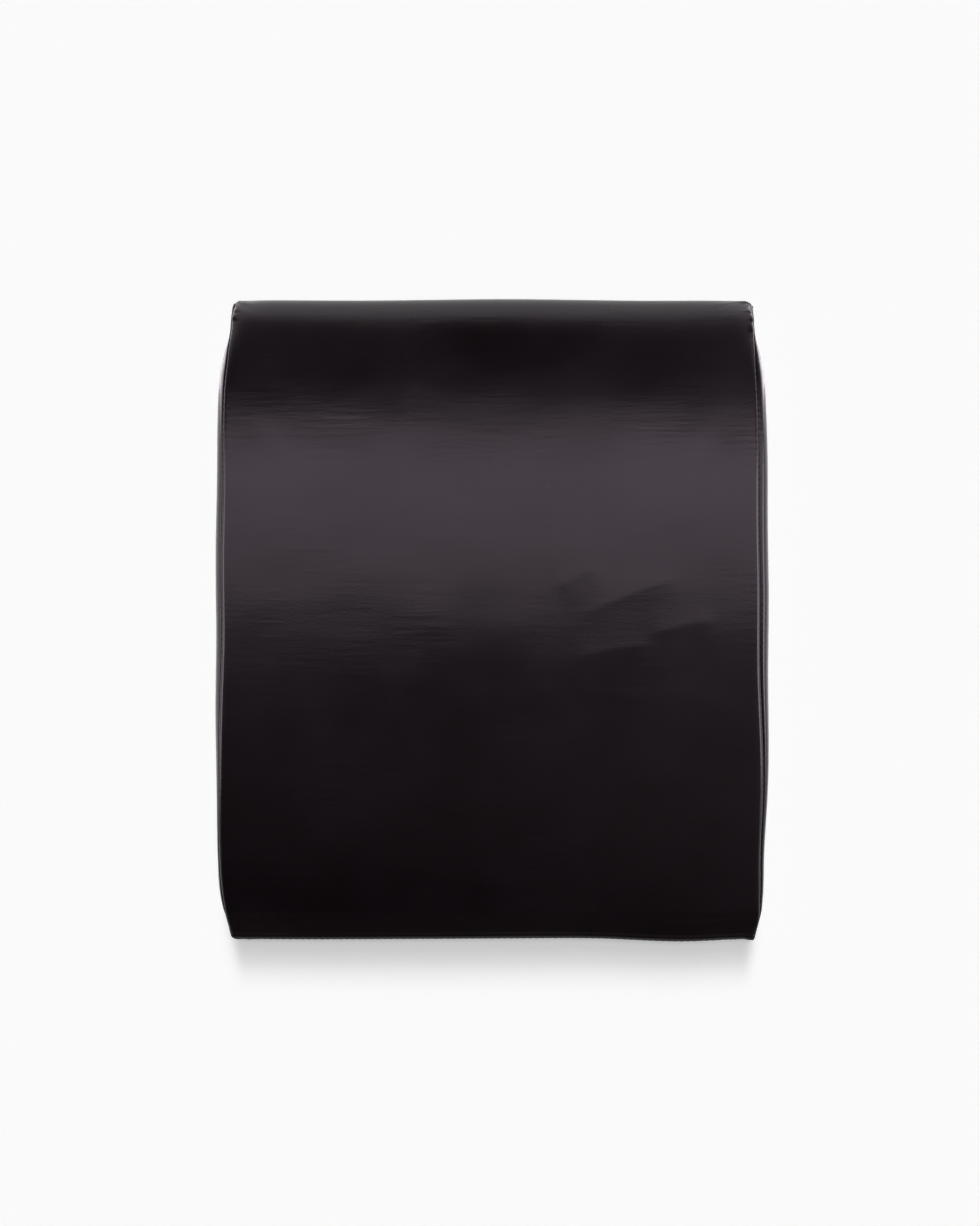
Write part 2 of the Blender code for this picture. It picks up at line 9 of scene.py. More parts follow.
import bmesh
import bpy
import mathutils
import numpy as np
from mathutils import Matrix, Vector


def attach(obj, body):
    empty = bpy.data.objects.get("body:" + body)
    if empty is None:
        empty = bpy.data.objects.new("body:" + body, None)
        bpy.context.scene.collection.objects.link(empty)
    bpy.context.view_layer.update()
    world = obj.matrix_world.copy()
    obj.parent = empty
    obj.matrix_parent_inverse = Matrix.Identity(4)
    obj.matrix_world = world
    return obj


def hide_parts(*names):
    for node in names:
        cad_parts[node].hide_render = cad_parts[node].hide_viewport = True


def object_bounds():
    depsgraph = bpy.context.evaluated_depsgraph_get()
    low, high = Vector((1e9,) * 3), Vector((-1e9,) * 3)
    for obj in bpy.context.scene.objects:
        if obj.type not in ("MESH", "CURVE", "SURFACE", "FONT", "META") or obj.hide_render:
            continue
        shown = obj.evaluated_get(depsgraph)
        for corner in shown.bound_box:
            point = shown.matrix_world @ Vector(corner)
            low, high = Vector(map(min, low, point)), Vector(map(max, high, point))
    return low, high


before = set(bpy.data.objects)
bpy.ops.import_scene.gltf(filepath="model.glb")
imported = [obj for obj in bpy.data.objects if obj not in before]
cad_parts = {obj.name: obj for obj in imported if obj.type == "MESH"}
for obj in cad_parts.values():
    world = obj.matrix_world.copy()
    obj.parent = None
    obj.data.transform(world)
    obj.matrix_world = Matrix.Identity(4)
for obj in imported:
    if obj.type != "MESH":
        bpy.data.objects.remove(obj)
cad_low, cad_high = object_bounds()

# Size of the covered mat, from the frame
mat_length = cad_high.y - cad_low.y
mat_height = cad_high.z
half_length = mat_length / 2

# Outline of the cover, as the construction has it
crest_y = 0.008
rear_seam_height = 0.037
rear_wall_bulge = 0.0035
rear_seam_roll = 0.0015
rear_seam_roll_length = 0.010
nose_height = 0.018
nose_tuck = 0.006
nose_turn_share = 0.25
nose_drop_share = 0.5
crest_reach = 0.110
nose_reach = 0.022
base_seam_height = 0.0035
base_corner_length = 0.0035
top_crown = 0.0020
nose_crown = 0.0010
edge_roll = 0.0022
top_edge_drop = 0.0019
wall_edge_drop = 0.0011
nose_edge_drop = 0.0012
base_edge_drop = 0.0022
seam_half_width = 0.1500
seam_spread = 0.0034
seam_spread_run = 0.120
gusset_bulge = 0.0053
gusset_rear_bulge = 0.0024
gusset_nose_share = 0.24
gusset_tip_run = 0.002
gusset_nose_end = 0.165
gusset_nose_rise = 0.027
gusset_rear_end = 0.185
gusset_rear_rise = 0.030
gusset_groove = 0.0002
bulge_power = 4.2
nose_draw = 0.0012
nose_draw_length = 0.060
nose_draw_run = 0.042
nose_round = 0.0004
nose_round_length = 0.003
rear_draw = 0.0044
rear_draw_length = 0.040
rear_seam_out = half_length - rear_wall_bulge
nose_seam_out = half_length - nose_tuck

# Mouth of the cover, where the zip lies between two rolled lips; "out" is how far behind the origin
zip_height = 0.020
mouth_half_height = 0.0045
mouth_end = 0.1425
mouth_taper = 0.008
lip_roll = 0.0045
lip_out = 0.1805

# Leather, its seams and its sewing thread
leather_thickness = 0.0010
tuck_radius = 0.0008
tuck_allowance = 0.0025
seam_parting = 0.0002
stitch_pitch = 0.0036
stitch_length = 0.0029
stitch_depth_share = 0.35
stitch_unevenness = 0.06
thread_radius = 0.00022
thread_sink = 2.5
thread_rise = 2.0
seam_depth = tuck_radius * stitch_depth_share
pucker_height = 0.00012
pucker_reach = 0.0022
cross_seam_end = 0.1465
zip_row_end = 0.1405
gusset_seed = 7
cross_seed = 11
zip_seed = 20

# How the cover lies: slow waves along its edges, a sagging rear edge and the pull of its seams
seam_lean = 0.0008
lean_fade = 0.0018
lean_rise = 0.014
side_wave = 0.00018
side_wave_length = 0.085
side_wave_turn = 0.9
side_wave_start = 0.125
nose_wave = 0.0003
nose_wave_length = 0.150
nose_wave_turn = 1.2
nose_wave_start = 0.150
rear_sway = 0.0005
rear_sway_length = 0.42
rear_sway_x = -0.020
rear_sway_start = 0.150
rear_sag = 0.0022
rear_sag_x = 0.108
rear_sag_reach = 0.035
rear_seam_draw = 0.0020
rear_seam_draw_reach = 0.007
rear_draw_start = 0.165
strip_roll = 0.0028
strip_roll_power = 3.4

# Drag creases on the face: each start and end, its height and how far it reaches on either side
creases = (
    ((0.0335, 0.0158), (0.0640, 0.0300), 0.00024, 0.0075),
    ((0.0440, -0.0020), (0.1120, 0.0250), 0.00029, 0.0085),
    ((0.0840, -0.0105), (0.1290, -0.0005), 0.00027, 0.0065),
    ((0.0420, -0.0235), (0.0960, -0.0140), 0.00031, 0.0080),
    ((0.0380, -0.0390), (0.0920, -0.0470), 0.00018, 0.0085),
    ((0.0700, 0.0430), (0.1180, 0.0560), 0.00013, 0.0080),
    ((-0.1280, 0.0340), (-0.0840, 0.0420), 0.00013, 0.0090),
    ((-0.0600, -0.0120), (-0.0140, -0.0040), 0.00012, 0.0090),
)
crease_bend = 0.03
crease_fade = 0.28
crease_edge = 0.0009
face_low = 0.040
face_fade = 0.010

# Slow swells of the face: the length, turn, height and start of each
face_swells = (
    (0.061, 0.35, 0.000045, 0.3),
    (0.047, 1.22, 0.000030, 2.1),
    (0.033, 1.95, 0.000022, 4.0),
    (0.039, 2.70, 0.000026, 5.2),
    (0.021, 1.50, 0.000012, 1.3),
)
swell_bend_length = 0.19

# Gathers where seams meet: the place, reach, number of folds, height and turn of each
gathers = (
    ((-0.1490, 0.183, 0.020), 0.0080, 10.0, 0.00100, 0.4),
    ((0.1490, 0.183, 0.020), 0.0065, 15.0, 0.00125, 2.0),
    ((-0.149, -0.180, 0.033), 0.008, 7.0, 0.00030, 1.1),
    ((0.149, -0.180, 0.033), 0.007, 9.0, 0.00050, 0.2),
)
gather_start = 0.003

# Pulls near the corners: the place of each, its reach along each axis, and its move
corner_pulls = (
    ((0.1485, -0.184, 0.034), (0.0035, 0.0035, 0.006), (0.0006, -0.0018, 0.0004)),
    ((-0.150, 0.186, 0.018), (0.013, 0.008, 0.020), (0.0006, -0.0007, 0.0)),
    ((0.150, 0.186, 0.018), (0.014, 0.008, 0.020), (0.0, -0.0010, 0.0)),
    ((0.1535, 0.168, 0.030), (0.006, 0.016, 0.025), (0.0, 0.0, -0.0016)),
    ((-0.1535, 0.168, 0.030), (0.006, 0.016, 0.025), (0.0, 0.0, -0.0016)),
    ((0.1560, -0.138, 0.035), (0.012, 0.030, 0.030), (-0.0013, 0.0, 0.0)),
    ((0.1520, -0.173, 0.033), (0.010, 0.011, 0.020), (0.0013, 0.0, 0.0)),
    ((0.1550, 0.154, 0.030), (0.006, 0.0075, 0.030), (0.0011, 0.0, 0.0)),
    ((-0.1550, 0.154, 0.030), (0.006, 0.0075, 0.030), (-0.0011, 0.0, 0.0)),
    ((0.1482, 0.1800, 0.021), (0.0014, 0.0015, 0.005), (0.0012, 0.0004, 0.0014)),
    ((0.1474, 0.1760, 0.026), (0.0013, 0.0013, 0.005), (0.0009, 0.0, 0.0016)),
    ((0.1484, 0.1712, 0.029), (0.0012, 0.0023, 0.007), (0.0012, 0.0, 0.0015)),
    ((0.1480, 0.1645, 0.032), (0.0011, 0.0032, 0.007), (0.0010, 0.0, 0.0013)),
    ((-0.1474, 0.1765, 0.025), (0.0013, 0.0016, 0.005), (-0.0009, 0.0, 0.0018)),
    ((-0.1480, 0.1718, 0.029), (0.0012, 0.0019, 0.006), (-0.0010, 0.0, 0.0017)),
)

# Cloth that the foam swells between the seams
swell_cell = 0.006
swell_frames = 20
swell_pressure = 4.0
swell_caps = {"top": 0.0005, "base": 0.0002, "wall": 0.0002, "left": 0.0007, "right": 0.0007}
swell_settle = 6
swell_slack = 0.002
weld_reach = 0.0004

# Which way each cross seam pulls its leather
rear_seam_inward = (0, 0.8, -0.6)
strip_inward = (0, 1, 0)
rear_base_inward = (0, 1, 0)
front_base_inward = (0, -1, 0)

# How finely the cover is cut
fine_spacing = 0.0012
fine_across = 0.0017
fine_nose_from = 0.62
guide_points = 400
least_steps = 4
least_wall_steps = 8
inner_step = 3
edge_steps = 12
coarse_edge_steps = 2
edge_crowding = 1.8
seam_shares = (0.04, 0.12, 0.25, 0.45, 0.7)
corner_steps = 6
base_rows = 120
strip_steps = 14
lip_steps = 8
stitch_steps = 6
thread_sides = 6

# Foam block
foam_weld = 0.00004
foam_voxel = 0.005
foam_smoothing = 3
foam_margin = 0.0015
foam_squeeze = 0.985

# Zip tape and its cord
tape_half_length = 0.1430
tape_thickness = 0.0006
tape_far = 0.01045
tape_near = 0.0016
tape_join = 0.0015
tape_join_run = 0.005
cord_radius = 0.0007
rib_height = 0.00006
rib_spacing = 0.0016
tape_cell = 0.0030
tape_rows = 24
cord_steps = 7

# Teeth, from root to tip, with the shares of the way at which a tooth turns, and the stops
tooth_pitch = 0.0029
tooth_tip = 0.00015
tooth_root = 0.00295
tooth_head_half = 0.00095
tooth_neck_half = 0.00050
tooth_root_half = 0.00085
tooth_turns = (0.22, 0.42, 0.56, 0.74, 0.86)
teeth_out = 0.1799
tooth_half_depth = 0.0012
teeth_depth = (teeth_out - tooth_half_depth, teeth_out + tooth_half_depth)
tooth_bevel = 0.00018
stop_x = 0.1186
stop_length = 0.0030
stop_tip = 0.00055
stop_corner = 0.00066
stop_gap = 0.0006

# Slider, with how long and how wide its corners are cut, its lugs and its pin
slider_x = 0.1120
slider_length = 0.0120
slider_front_half = 0.0042
slider_rear_half = 0.0032
slider_rear_cut = (0.0006, 0.80)
slider_front_cut = (0.0008, 0.85)
slider_mouth_share = 0.55
slider_plate = 0.0010
outer_plate_out = 0.1814
inner_plate_out = 0.1784
flange_half = 0.0031
flange_inset = 0.0001
flange_start = 0.0016
flange_end = 0.0030
flange_reach = 0.0008
web_half = 0.0001
pin_out = 0.1838
pin_place = (slider_x, -pin_out, zip_height)
pin_radius = 0.0005
lug_spread = 0.0040
lug_thickness = 0.0008
lug_length = 0.0028

# Pull tab, with how far along and how wide its shoulder turns
tab_length = 0.020
tab_half = 0.0030
tab_neck_half = 0.0016
tab_neck_length = 0.0036
tab_shoulder = 0.0014
tab_shoulder_turn = (0.50, 0.65)
tab_corner_share = 0.6
tab_thickness = 0.0010
tab_eye_radius = 0.0012
tab_bore_radius = 0.0007
tab_window_half = 0.0016
tab_window = (0.0145, 0.0180)
metal_bevel = 0.00022
sharp_angle = math.radians(40)
bevel_steps = 2
corner_turns = 4
rod_sides = 24

# Grain and relief of the materials
skin_tone_grain = 0.060
pebble_grain = 0.0011
pebble_height = 0.00002
wrinkle_grain = 0.0030
wrinkle_stretch = 0.12
wrinkle_height = 0.00011
wrinkle_patch = 0.045
dot_pitch = 0.0032
dot_height = 0.0003
grime_grain = 0.030
foam_cell = 0.0009
foam_cell_depth = 0.0003
weave_pitch = 0.0006
weft_pitch = 0.0008
wave_period = 0.05
weave_height = 0.00008
flow_grain = 0.0012
flow_height = 0.00002
peel_grain = 0.0007
peel_height = 0.00001
wear_grain = 0.0030
ply_grain = 0.00022
ply_height = 0.00004
smooth_range = {"interpolation_type": "SMOOTHSTEP"}

# Floor and backdrop; pairs are where a glow begins and ends
floor_colour = "#f2f2f2"
floor_glow = 0.308
floor_half = 6.0
floor_gap = 0.0001
white_to = 5.0
dark_from = 23.5
backdrop_white = 0.96
studio_dark = 0.01
paler_side = (0.0, 0.22)
paler_by = 0.11
ceiling = (0.78, 0.90)
ceiling_glow = 0.09
nose_sides = (0.15, 0.45)
nose_side_glow = 0.95
nose_side_from = (0.55, 0.85)
studio_fill = 0.05

# Softboxes and low cards: the place, target, size and power of each
softbox_colour = "#fff6ff"
softboxes = (
    ((0, 0.430, 1.630), (0, 0, 0.04), (2.2, 0.88), 7.0),
    ((0, 0.680, 1.625), (0, 0, 0.04), (2.2, 0.50), 1.35),
    ((1.31, 0, 0.92), (0, 0, 0.04), (1.1, 0.85), 15.0),
    ((-1.31, 0, 0.92), (0, 0, 0.04), (1.1, 0.85), 12.5),
    ((0.275, 0.270, 0.002), (0.275, 0.270, 1), (0.20, 0.26), 0.55),
    ((-0.275, 0.270, 0.002), (-0.275, 0.270, 1), (0.20, 0.26), 0.45),
)

# Soft suns: the tilt towards the nose and the strength of each
sun_spread = 11.0
suns = ((10.0, 0.88), (24.0, 0.36), (34.0, 0.72), (43.0, 0.52))

# Painted shade that only the gloss sees: a dark flag beyond the tall end with a grey foot on the
# floor; and the camera
flag_y = -0.60
flag_near_y = -0.190
flag_half_width = 0.9
flag_low = 0.001
# painted shade: grey and dark only so that the tall end's reflections look shaded
painted_shade_flag_colour = "#5a5a5a"
painted_shade_foot_colour = "#8c8c8c"
flag_high = 0.45
sensor_width = 36.0
picture_height = 1226
focal_pixels = 1864
camera_place = (-0.00122, 0.00302, 1.1)

Insets = namedtuple("Insets", "top rear nose base")
Cut = namedtuple("Cut", "rear front wall across angles")

# No inset, as numbers and as a column of one, and the insets at the side seams
NO_INSET = Insets(0, 0, 0, 0)
SKIN = Insets(*np.zeros((4, 1)))
SIDE_SEAM = Insets(
    top_edge_drop + top_crown, wall_edge_drop, nose_edge_drop + nose_crown, base_edge_drop
)


def mix(start, end, share):
    """The value a share of the way from start to end."""
    return start + (end - start) * share


def ease(share):
    """A smooth step from 0 to 1, flat at both ends."""
    share = np.clip(share, 0, 1)
    return share * share * (3 - 2 * share)


def stacked(*parts):
    """Numbers laid side by side, as the coordinates of points."""
    return np.stack(np.broadcast_arrays(*parts), axis=-1)


def reach_along(points):
    """How far each row of points lies from the first, along the rows."""
    steps = np.linalg.norm(np.diff(points, axis=0), axis=-1)
    return np.concatenate((np.zeros_like(steps[:1]), np.cumsum(steps, axis=0)))


def bezier(controls, share):
    """Points on the cubic curve through four controls, with y and z in the last axis."""
    rest = 1 - share
    weights = (rest**3, 3 * rest**2 * share, 3 * rest * share**2, share**3)
    parts = [sum(w * point[axis] for w, point in zip(weights, controls)) for axis in (0, 1)]
    return stacked(*parts)


def even_shares(curve, spacing):
    """Shares of a curve's own run, so that its points lie evenly along it."""
    guide = np.linspace(0, 1, guide_points)
    reach = reach_along(curve(guide))
    count = max(least_steps, int(round(reach[-1] / spacing)))
    return np.interp(np.linspace(0, reach[-1], count + 1), reach, guide)


# Side view of the outline; each function gives rows of (y, z) for columns of insets


def rear_wall_out(z, insets):
    """How far behind the origin the bulging rear wall stands at a height."""
    share = (z - base_seam_height) / (rear_seam_height - insets.top - base_seam_height)
    share = np.clip(share, 0, 1)
    return rear_seam_out + rear_wall_bulge * 4 * share * (1 - share) - insets.rear


def arch_curve(insets, share):
    """From the rear seam up to the crest."""
    seam_y = insets.rear - rear_seam_out
    arch_rise = mat_height - rear_seam_height - rear_seam_roll
    y = mix(seam_y, crest_y, share)
    roll_share = np.clip(1 - (y - seam_y) / rear_seam_roll_length, 0, None)
    drop = arch_rise * (1 - share) ** 2 + rear_seam_roll * roll_share**2
    return stacked(y, mat_height - insets.top - drop)


def nose_curve(insets, share):
    """From the crest down to the tip of the nose."""
    tip_y = half_length - insets.nose
    crest_z = mat_height - insets.top
    controls = (
        (crest_y, crest_z),
        (crest_y + crest_reach, crest_z),
        (tip_y, nose_height + nose_reach),
        (tip_y, nose_height),
    )
    return bezier(controls, share)


def under_nose(insets, share):
    """From the base seam up to the tip of the nose."""
    seam_y = nose_seam_out - insets.nose
    tip_y = half_length - insets.nose
    rise = nose_height - base_seam_height
    controls = (
        (seam_y, base_seam_height),
        (mix(seam_y, tip_y, nose_turn_share), mix(base_seam_height, nose_height, nose_turn_share)),
        (tip_y, nose_height - rise * nose_drop_share),
        (tip_y, nose_height),
    )
    return bezier(controls, share)


def rear_wall(insets, share):
    """From the base seam up to the rear seam."""
    z = mix(base_seam_height, rear_seam_height - insets.top, share)
    return stacked(-rear_wall_out(z, insets), z)


def base_line(insets, share):
    """From the rear base seam, round its corner, along the floor and up to the front base seam."""
    rear_y = insets.rear - rear_seam_out
    front_y = nose_seam_out - insets.nose
    y = mix(rear_y, front_y, share)
    from_end = np.minimum(y - rear_y, front_y - y)
    corner_share = np.clip(1 - from_end / base_corner_length, 0, 1)
    rise = 1 - np.sqrt(1 - corner_share**2)
    return stacked(y, mix(insets.base, base_seam_height, rise))


def make_cut(spacing, across_spacing, angle_steps, seam_shares=()):
    """How finely the outline is cut: shares along each stretch, and places across the mat."""
    rear = even_shares(lambda share: arch_curve(NO_INSET, share), spacing)
    rear = np.union1d(rear, tuck_radius / (rear_seam_out + crest_y) * np.array(seam_shares))
    front = even_shares(lambda share: nose_curve(NO_INSET, share), spacing)
    if seam_shares:
        tip = front[front > fine_nose_from]
        front = np.union1d(front, (tip[1:] + tip[:-1]) / 2)
    wall_count = max(least_wall_steps, int(round((rear_seam_height - base_seam_height) / spacing)))
    wall = (1 - np.cos(np.linspace(0, math.pi, wall_count + 1))) / 2
    inner_count = int(round((seam_half_width - edge_roll) / across_spacing))
    across = np.linspace(0, 1, inner_count + 1)
    turn = 1 - (1 - np.linspace(0, 1, angle_steps + 1)[1:]) ** edge_crowding
    return Cut(rear, front, wall, across, turn * math.pi / 2)


def top_curve(cut, insets):
    """The whole top, from the rear seam to the tip of the nose."""
    rear = arch_curve(insets, cut.rear[:, None])
    front = nose_curve(insets, cut.front[1:, None])
    return np.concatenate((rear, front))


def along_shares(cut):
    """How far along the mat each row of the top lies, as a share of the skin's own run."""
    y = top_curve(cut, SKIN)[:, 0, 0]
    return (y - y[0]) / (y[-1] - y[0])


def side_patch(cut, insets):
    """A grid of (y, z) that fills the outline: rows from rear to nose, columns from base to top."""
    flat = Insets(*[np.array([value]) for value in insets])
    along = along_shares(cut)
    top = top_curve(cut, flat)[:, 0]
    bottom = base_line(flat, along[:, None])[:, 0]
    rear = rear_wall(flat, cut.wall[:, None])[:, 0]
    nose = under_nose(flat, cut.wall[:, None])[:, 0]
    u = along[:, None, None]
    v = cut.wall[None, :, None]
    ruled = mix(bottom[:, None], top[:, None], v) + mix(rear[None], nose[None], u)
    low = mix(rear[0], nose[0], u)
    high = mix(rear[-1], nose[-1], u)
    return ruled - mix(low, high, v)


# Front view


def half_width_at(y):
    """Half the width between the side seams, which the ends draw in."""
    nose_share = ease((y - half_length + nose_draw_length) / nose_draw_run)
    round_share = np.clip((y - half_length + nose_round_length) / nose_round_length, 0, None)
    rear_share = np.clip((rear_draw_length - half_length - y) / rear_draw_length, 0, None)
    drawn = nose_draw * nose_share + nose_round * round_share**2 + rear_draw * rear_share**2
    return seam_half_width + seam_spread * ease(-y / seam_spread_run) - drawn


def bulge_at(y):
    """How far a side panel bulges beyond its seams at a place along the mat."""
    size = mix(gusset_bulge, gusset_rear_bulge, ease(-y / seam_spread_run))
    nose_share = mix(gusset_nose_share, 1, ease((gusset_nose_end - y) / gusset_nose_rise))
    nose_share = nose_share * ease((half_length - y) / gusset_tip_run)
    return size * nose_share * ease((y + gusset_rear_end) / gusset_rear_rise)


def stations(cut):
    """Places across the mat, from its left edge to its right: a share, a roll angle and a side."""
    share = np.concatenate((cut.across, np.ones(len(cut.angles))))
    angle = np.concatenate((np.zeros(len(cut.across)), cut.angles))
    share = np.concatenate((share[:0:-1], share))
    angle = np.concatenate((angle[:0:-1], angle))
    side = np.sign(np.arange(len(share)) - len(share) // 2)
    return share, angle, side


def station_x(cut, half_width):
    """Where the places lie across the mat, for each row's half width."""
    share, angle, side = stations(cut)
    return side * ((half_width - edge_roll) * share + edge_roll * np.sin(angle))


def station_insets(cut):
    """How far the skin lies inside the outline at each place."""
    _, angle, _ = stations(cut)
    across_share = np.abs(station_x(cut, seam_half_width)) / seam_half_width
    turn = 1 - np.cos(angle)
    return Insets(
        top_edge_drop * turn + top_crown * across_share**2,
        wall_edge_drop * turn,
        nose_edge_drop * turn + nose_crown * across_share**2,
        base_edge_drop * turn,
    )


def panel_grid(cut, outline):
    """Rows across the mat; outline gives their (y, z) for some insets, and its skin their width."""
    x = station_x(cut, half_width_at(outline(SKIN)[:, 0, 0])[:, None])
    return np.concatenate((x[..., None], outline(station_insets(cut))), axis=-1)


def top_panel_grid(cut):
    """Rows from the rear seam, over the crest and round the nose, to the front base seam."""

    def outline(insets):
        return np.concatenate((top_curve(cut, insets), under_nose(insets, cut.wall[-2::-1, None])))

    return panel_grid(cut, outline)


def base_panel_grid(cut, shares):
    """Rows from the rear base seam, along the floor, to the front base seam."""
    return panel_grid(cut, lambda insets: base_line(insets, shares[:, None]))


def rear_wall_grid(cut):
    """Rows from the base seam up to the rear seam, with no mouth."""
    return panel_grid(cut, lambda insets: rear_wall(insets, cut.wall[:, None]))


def gusset_grid(cut, side):
    """Rows over the bulging side panel, from the rear to the nose; columns from base to top."""
    patch = side_patch(cut, SIDE_SEAM)
    skin_y = side_patch(cut, NO_INSET)[..., 0]
    up = np.sqrt(1 - np.abs(2 * cut.wall - 1) ** bulge_power)
    x = side * (half_width_at(skin_y) + gusset_groove + bulge_at(skin_y) * up)
    return np.concatenate((x[..., None], patch), axis=-1)


# Meshes


def unit(vectors):
    """The same vectors, one metre long."""
    return vectors / np.linalg.norm(vectors, axis=-1, keepdims=True)


def grid_normals(grid):
    """Normals of a grid of points, turned away from the middle of the mat."""
    run = np.gradient(grid, axis=0)
    across = np.gradient(grid, axis=1)
    normals = unit(np.cross(run, across))
    from_middle = grid - np.array((0, 0, mat_height / 2))
    return normals * np.sign(np.sum(normals * from_middle))


def new_object(name, data):
    """An object in the scene that holds some data."""
    thing = bpy.data.objects.new(name, data)
    bpy.context.collection.objects.link(thing)
    return thing


def new_mesh(name, verts, edges, faces, materials=()):
    """A mesh from its points, edges and faces."""
    mesh = bpy.data.meshes.new(name)
    mesh.from_pydata(verts, edges, faces)
    for material in materials:
        mesh.materials.append(material)
    return mesh


def add_mesh(name, verts, faces, *materials):
    """A smooth mesh object at the origin, with its faces pointing outwards."""
    mesh = new_mesh(name, verts, [], faces, materials)
    shell = bmesh.new()
    shell.from_mesh(mesh)
    bmesh.ops.recalc_face_normals(shell, faces=shell.faces)
    shell.to_mesh(mesh)
    shell.free()
    mesh.shade_smooth()
    return new_object(name, mesh)


def grid_faces(rows, columns, start=0):
    """Quads between neighbouring points of a grid."""
    corner = start + np.arange(rows - 1)[:, None] * columns + np.arange(columns - 1)
    quads = np.stack((corner, corner + 1, corner + columns + 1, corner + columns), axis=-1)
    return quads.reshape(-1, 4).tolist()


def picks(count, step):
    """Every so many places of a row, with its last one."""
    return np.unique(np.append(np.arange(0, count, step), count - 1))


def add_shell(name, outer, material):
    """Leather: a fine outer face, a less finely cut inner face, and the edges that join them."""
    rows, columns = outer.shape[:2]
    row_picks = picks(rows, inner_step)
    column_picks = picks(columns, inner_step)
    inner = outer - grid_normals(outer) * leather_thickness
    inner = inner[row_picks][:, column_picks]
    count = rows * columns
    faces = grid_faces(rows, columns)
    inner_faces = grid_faces(len(row_picks), len(column_picks), count)
    faces += [face[::-1] for face in inner_faces]
    outside = np.arange(count).reshape(rows, columns)
    inside = count + np.arange(inner.size // 3).reshape(inner.shape[:2])
    edges = [(outside[row], inside[row], column_picks) for row in (0, -1)]
    edges += [(outside[:, column], inside[:, column], row_picks) for column in (0, -1)]
    for outer_edge, inner_edge, taken in edges:
        for here in range(len(taken) - 1):
            run = outer_edge[taken[here] : taken[here + 1] + 1].tolist()
            faces.append([int(inner_edge[here]), *run, int(inner_edge[here + 1])])
    verts = np.concatenate((outer.reshape(-1, 3), inner.reshape(-1, 3)))
    return add_mesh(name, verts.tolist(), faces, material)


def finished(thing, name):
    """A plain mesh object from an object's modifiers; the old object goes."""
    modified = thing.evaluated_get(bpy.context.evaluated_depsgraph_get())
    made = bpy.data.meshes.new_from_object(modified)
    made.name = name
    bpy.data.objects.remove(thing, do_unlink=True)
    return new_object(name, made)


# Seams; every border rolls into its seam along the line that halves the corner there


def from_border(grid, border):
    """A view of a grid whose first row is one of its borders."""
    rows = grid if border in ("start", "end") else np.swapaxes(grid, 0, 1)
    return rows[::-1] if border in ("end", "right") else rows


def seam_inward(line, across):
    """Unit vectors into the mat from a seam; line has its (y, z), and across is its x part."""
    run = np.gradient(line, axis=0)
    normal = unit(np.stack((-run[..., 1], run[..., 0]), axis=-1))
    middle = np.array((0, mat_height / 2))
    normal *= np.sign(np.sum(normal * (middle - line), axis=-1, keepdims=True))
    return unit(np.concatenate((np.full_like(normal[..., :1], across), normal), axis=-1))


def roll_in(grid, border, inward, radius, pucker):
    """Turn a border into its seam, and let the stitches pull small puckers beside it."""
    rows = from_border(grid, border)
    reach = reach_along(rows)
    normals = from_border(grid_normals(grid), border)
    between_stitches = (1 - np.cos(math.tau * reach_along(rows[0]) / stitch_pitch)) / 2
    pull = pucker * np.exp(-reach / pucker_reach) * between_stitches
    near = np.clip(1 - reach / radius, 0, 1)
    turn = radius * (1 - np.sqrt(1 - near**2))
    rows += normals * pull[..., None] + inward * turn[..., None]


def with_allowance(grid, border, inward):
    """The grid with one more row, which runs on into the seam."""
    rows = from_border(grid, border)
    normals = from_border(grid_normals(grid), border)
    flap = rows[0] + inward * tuck_allowance - normals[0] * seam_parting
    axis = 0 if border in ("start", "end") else 1
    flap = np.expand_dims(flap, axis)
    pair = (grid, flap) if border in ("end", "right") else (flap, grid)
    return np.concatenate(pair, axis=axis)


# How the leather lies: waves, creases and gathers that every piece of the cover follows


def bump_at(points, centre, reach):
    """1 at a place and falling to 0 within about twice its reach."""
    offset = (points - np.array(centre)) / np.array(reach)
    return np.exp(-np.sum(offset**2, axis=-1))


def crease_lift(points):
    """How far the drag creases raise the face."""
    lift = np.zeros(points.shape[:-1])
    for start, end, height, width in creases:
        start = np.array(start)
        run = np.array(end) - start
        offset = points[..., :2] - start
        share = offset @ run / (run @ run)
        away = offset @ np.array((-run[1], run[0])) / math.hypot(*run)
        bend = crease_bend * math.hypot(*run) * np.sin(math.pi * np.clip(share, 0, 1))
        ends = ease(share / crease_fade) * ease((1 - share) / crease_fade)
        lift += height * ends * np.exp(-np.hypot(away - bend, crease_edge) / width)
    return lift


def face_swell(points):
    """Slow, uneven swells where the foam under the face gives a little."""
    lift = np.zeros(points.shape[:-1])
    for length, turn, height, start in face_swells:
        along = points[..., 0] * math.cos(turn) + points[..., 1] * math.sin(turn)
        bend = np.sin(math.tau * points[..., 0] / swell_bend_length + start)
        lift += height * np.sin(math.tau * along / length + start + bend)
    return lift


def gather(points, centre, reach, fold, height, turn):
    """Pleats that fan out from the end of a seam, as a lift of the leather."""
    offset = points - np.array(centre)
    distance = np.linalg.norm(offset, axis=-1)
    angle = np.arctan2(offset[..., 1], offset[..., 0])
    angle = angle + np.arctan2(offset[..., 2], np.hypot(offset[..., 0], offset[..., 1]))
    start = np.clip(distance / gather_start, 0, 1)
    return height * start * np.exp(-distance / reach) * np.cos(fold * angle + turn)


def rear_seam_line(x, y):
    """How high the rear seam lies at a place across the mat."""
    edge = np.clip((np.abs(x) - half_width_at(y) + edge_roll) / edge_roll, 0, 1)
    crown = top_crown * (np.abs(x) / seam_half_width) ** 2
    return rear_seam_height - crown - top_edge_drop * (1 - np.sqrt(1 - edge**2))


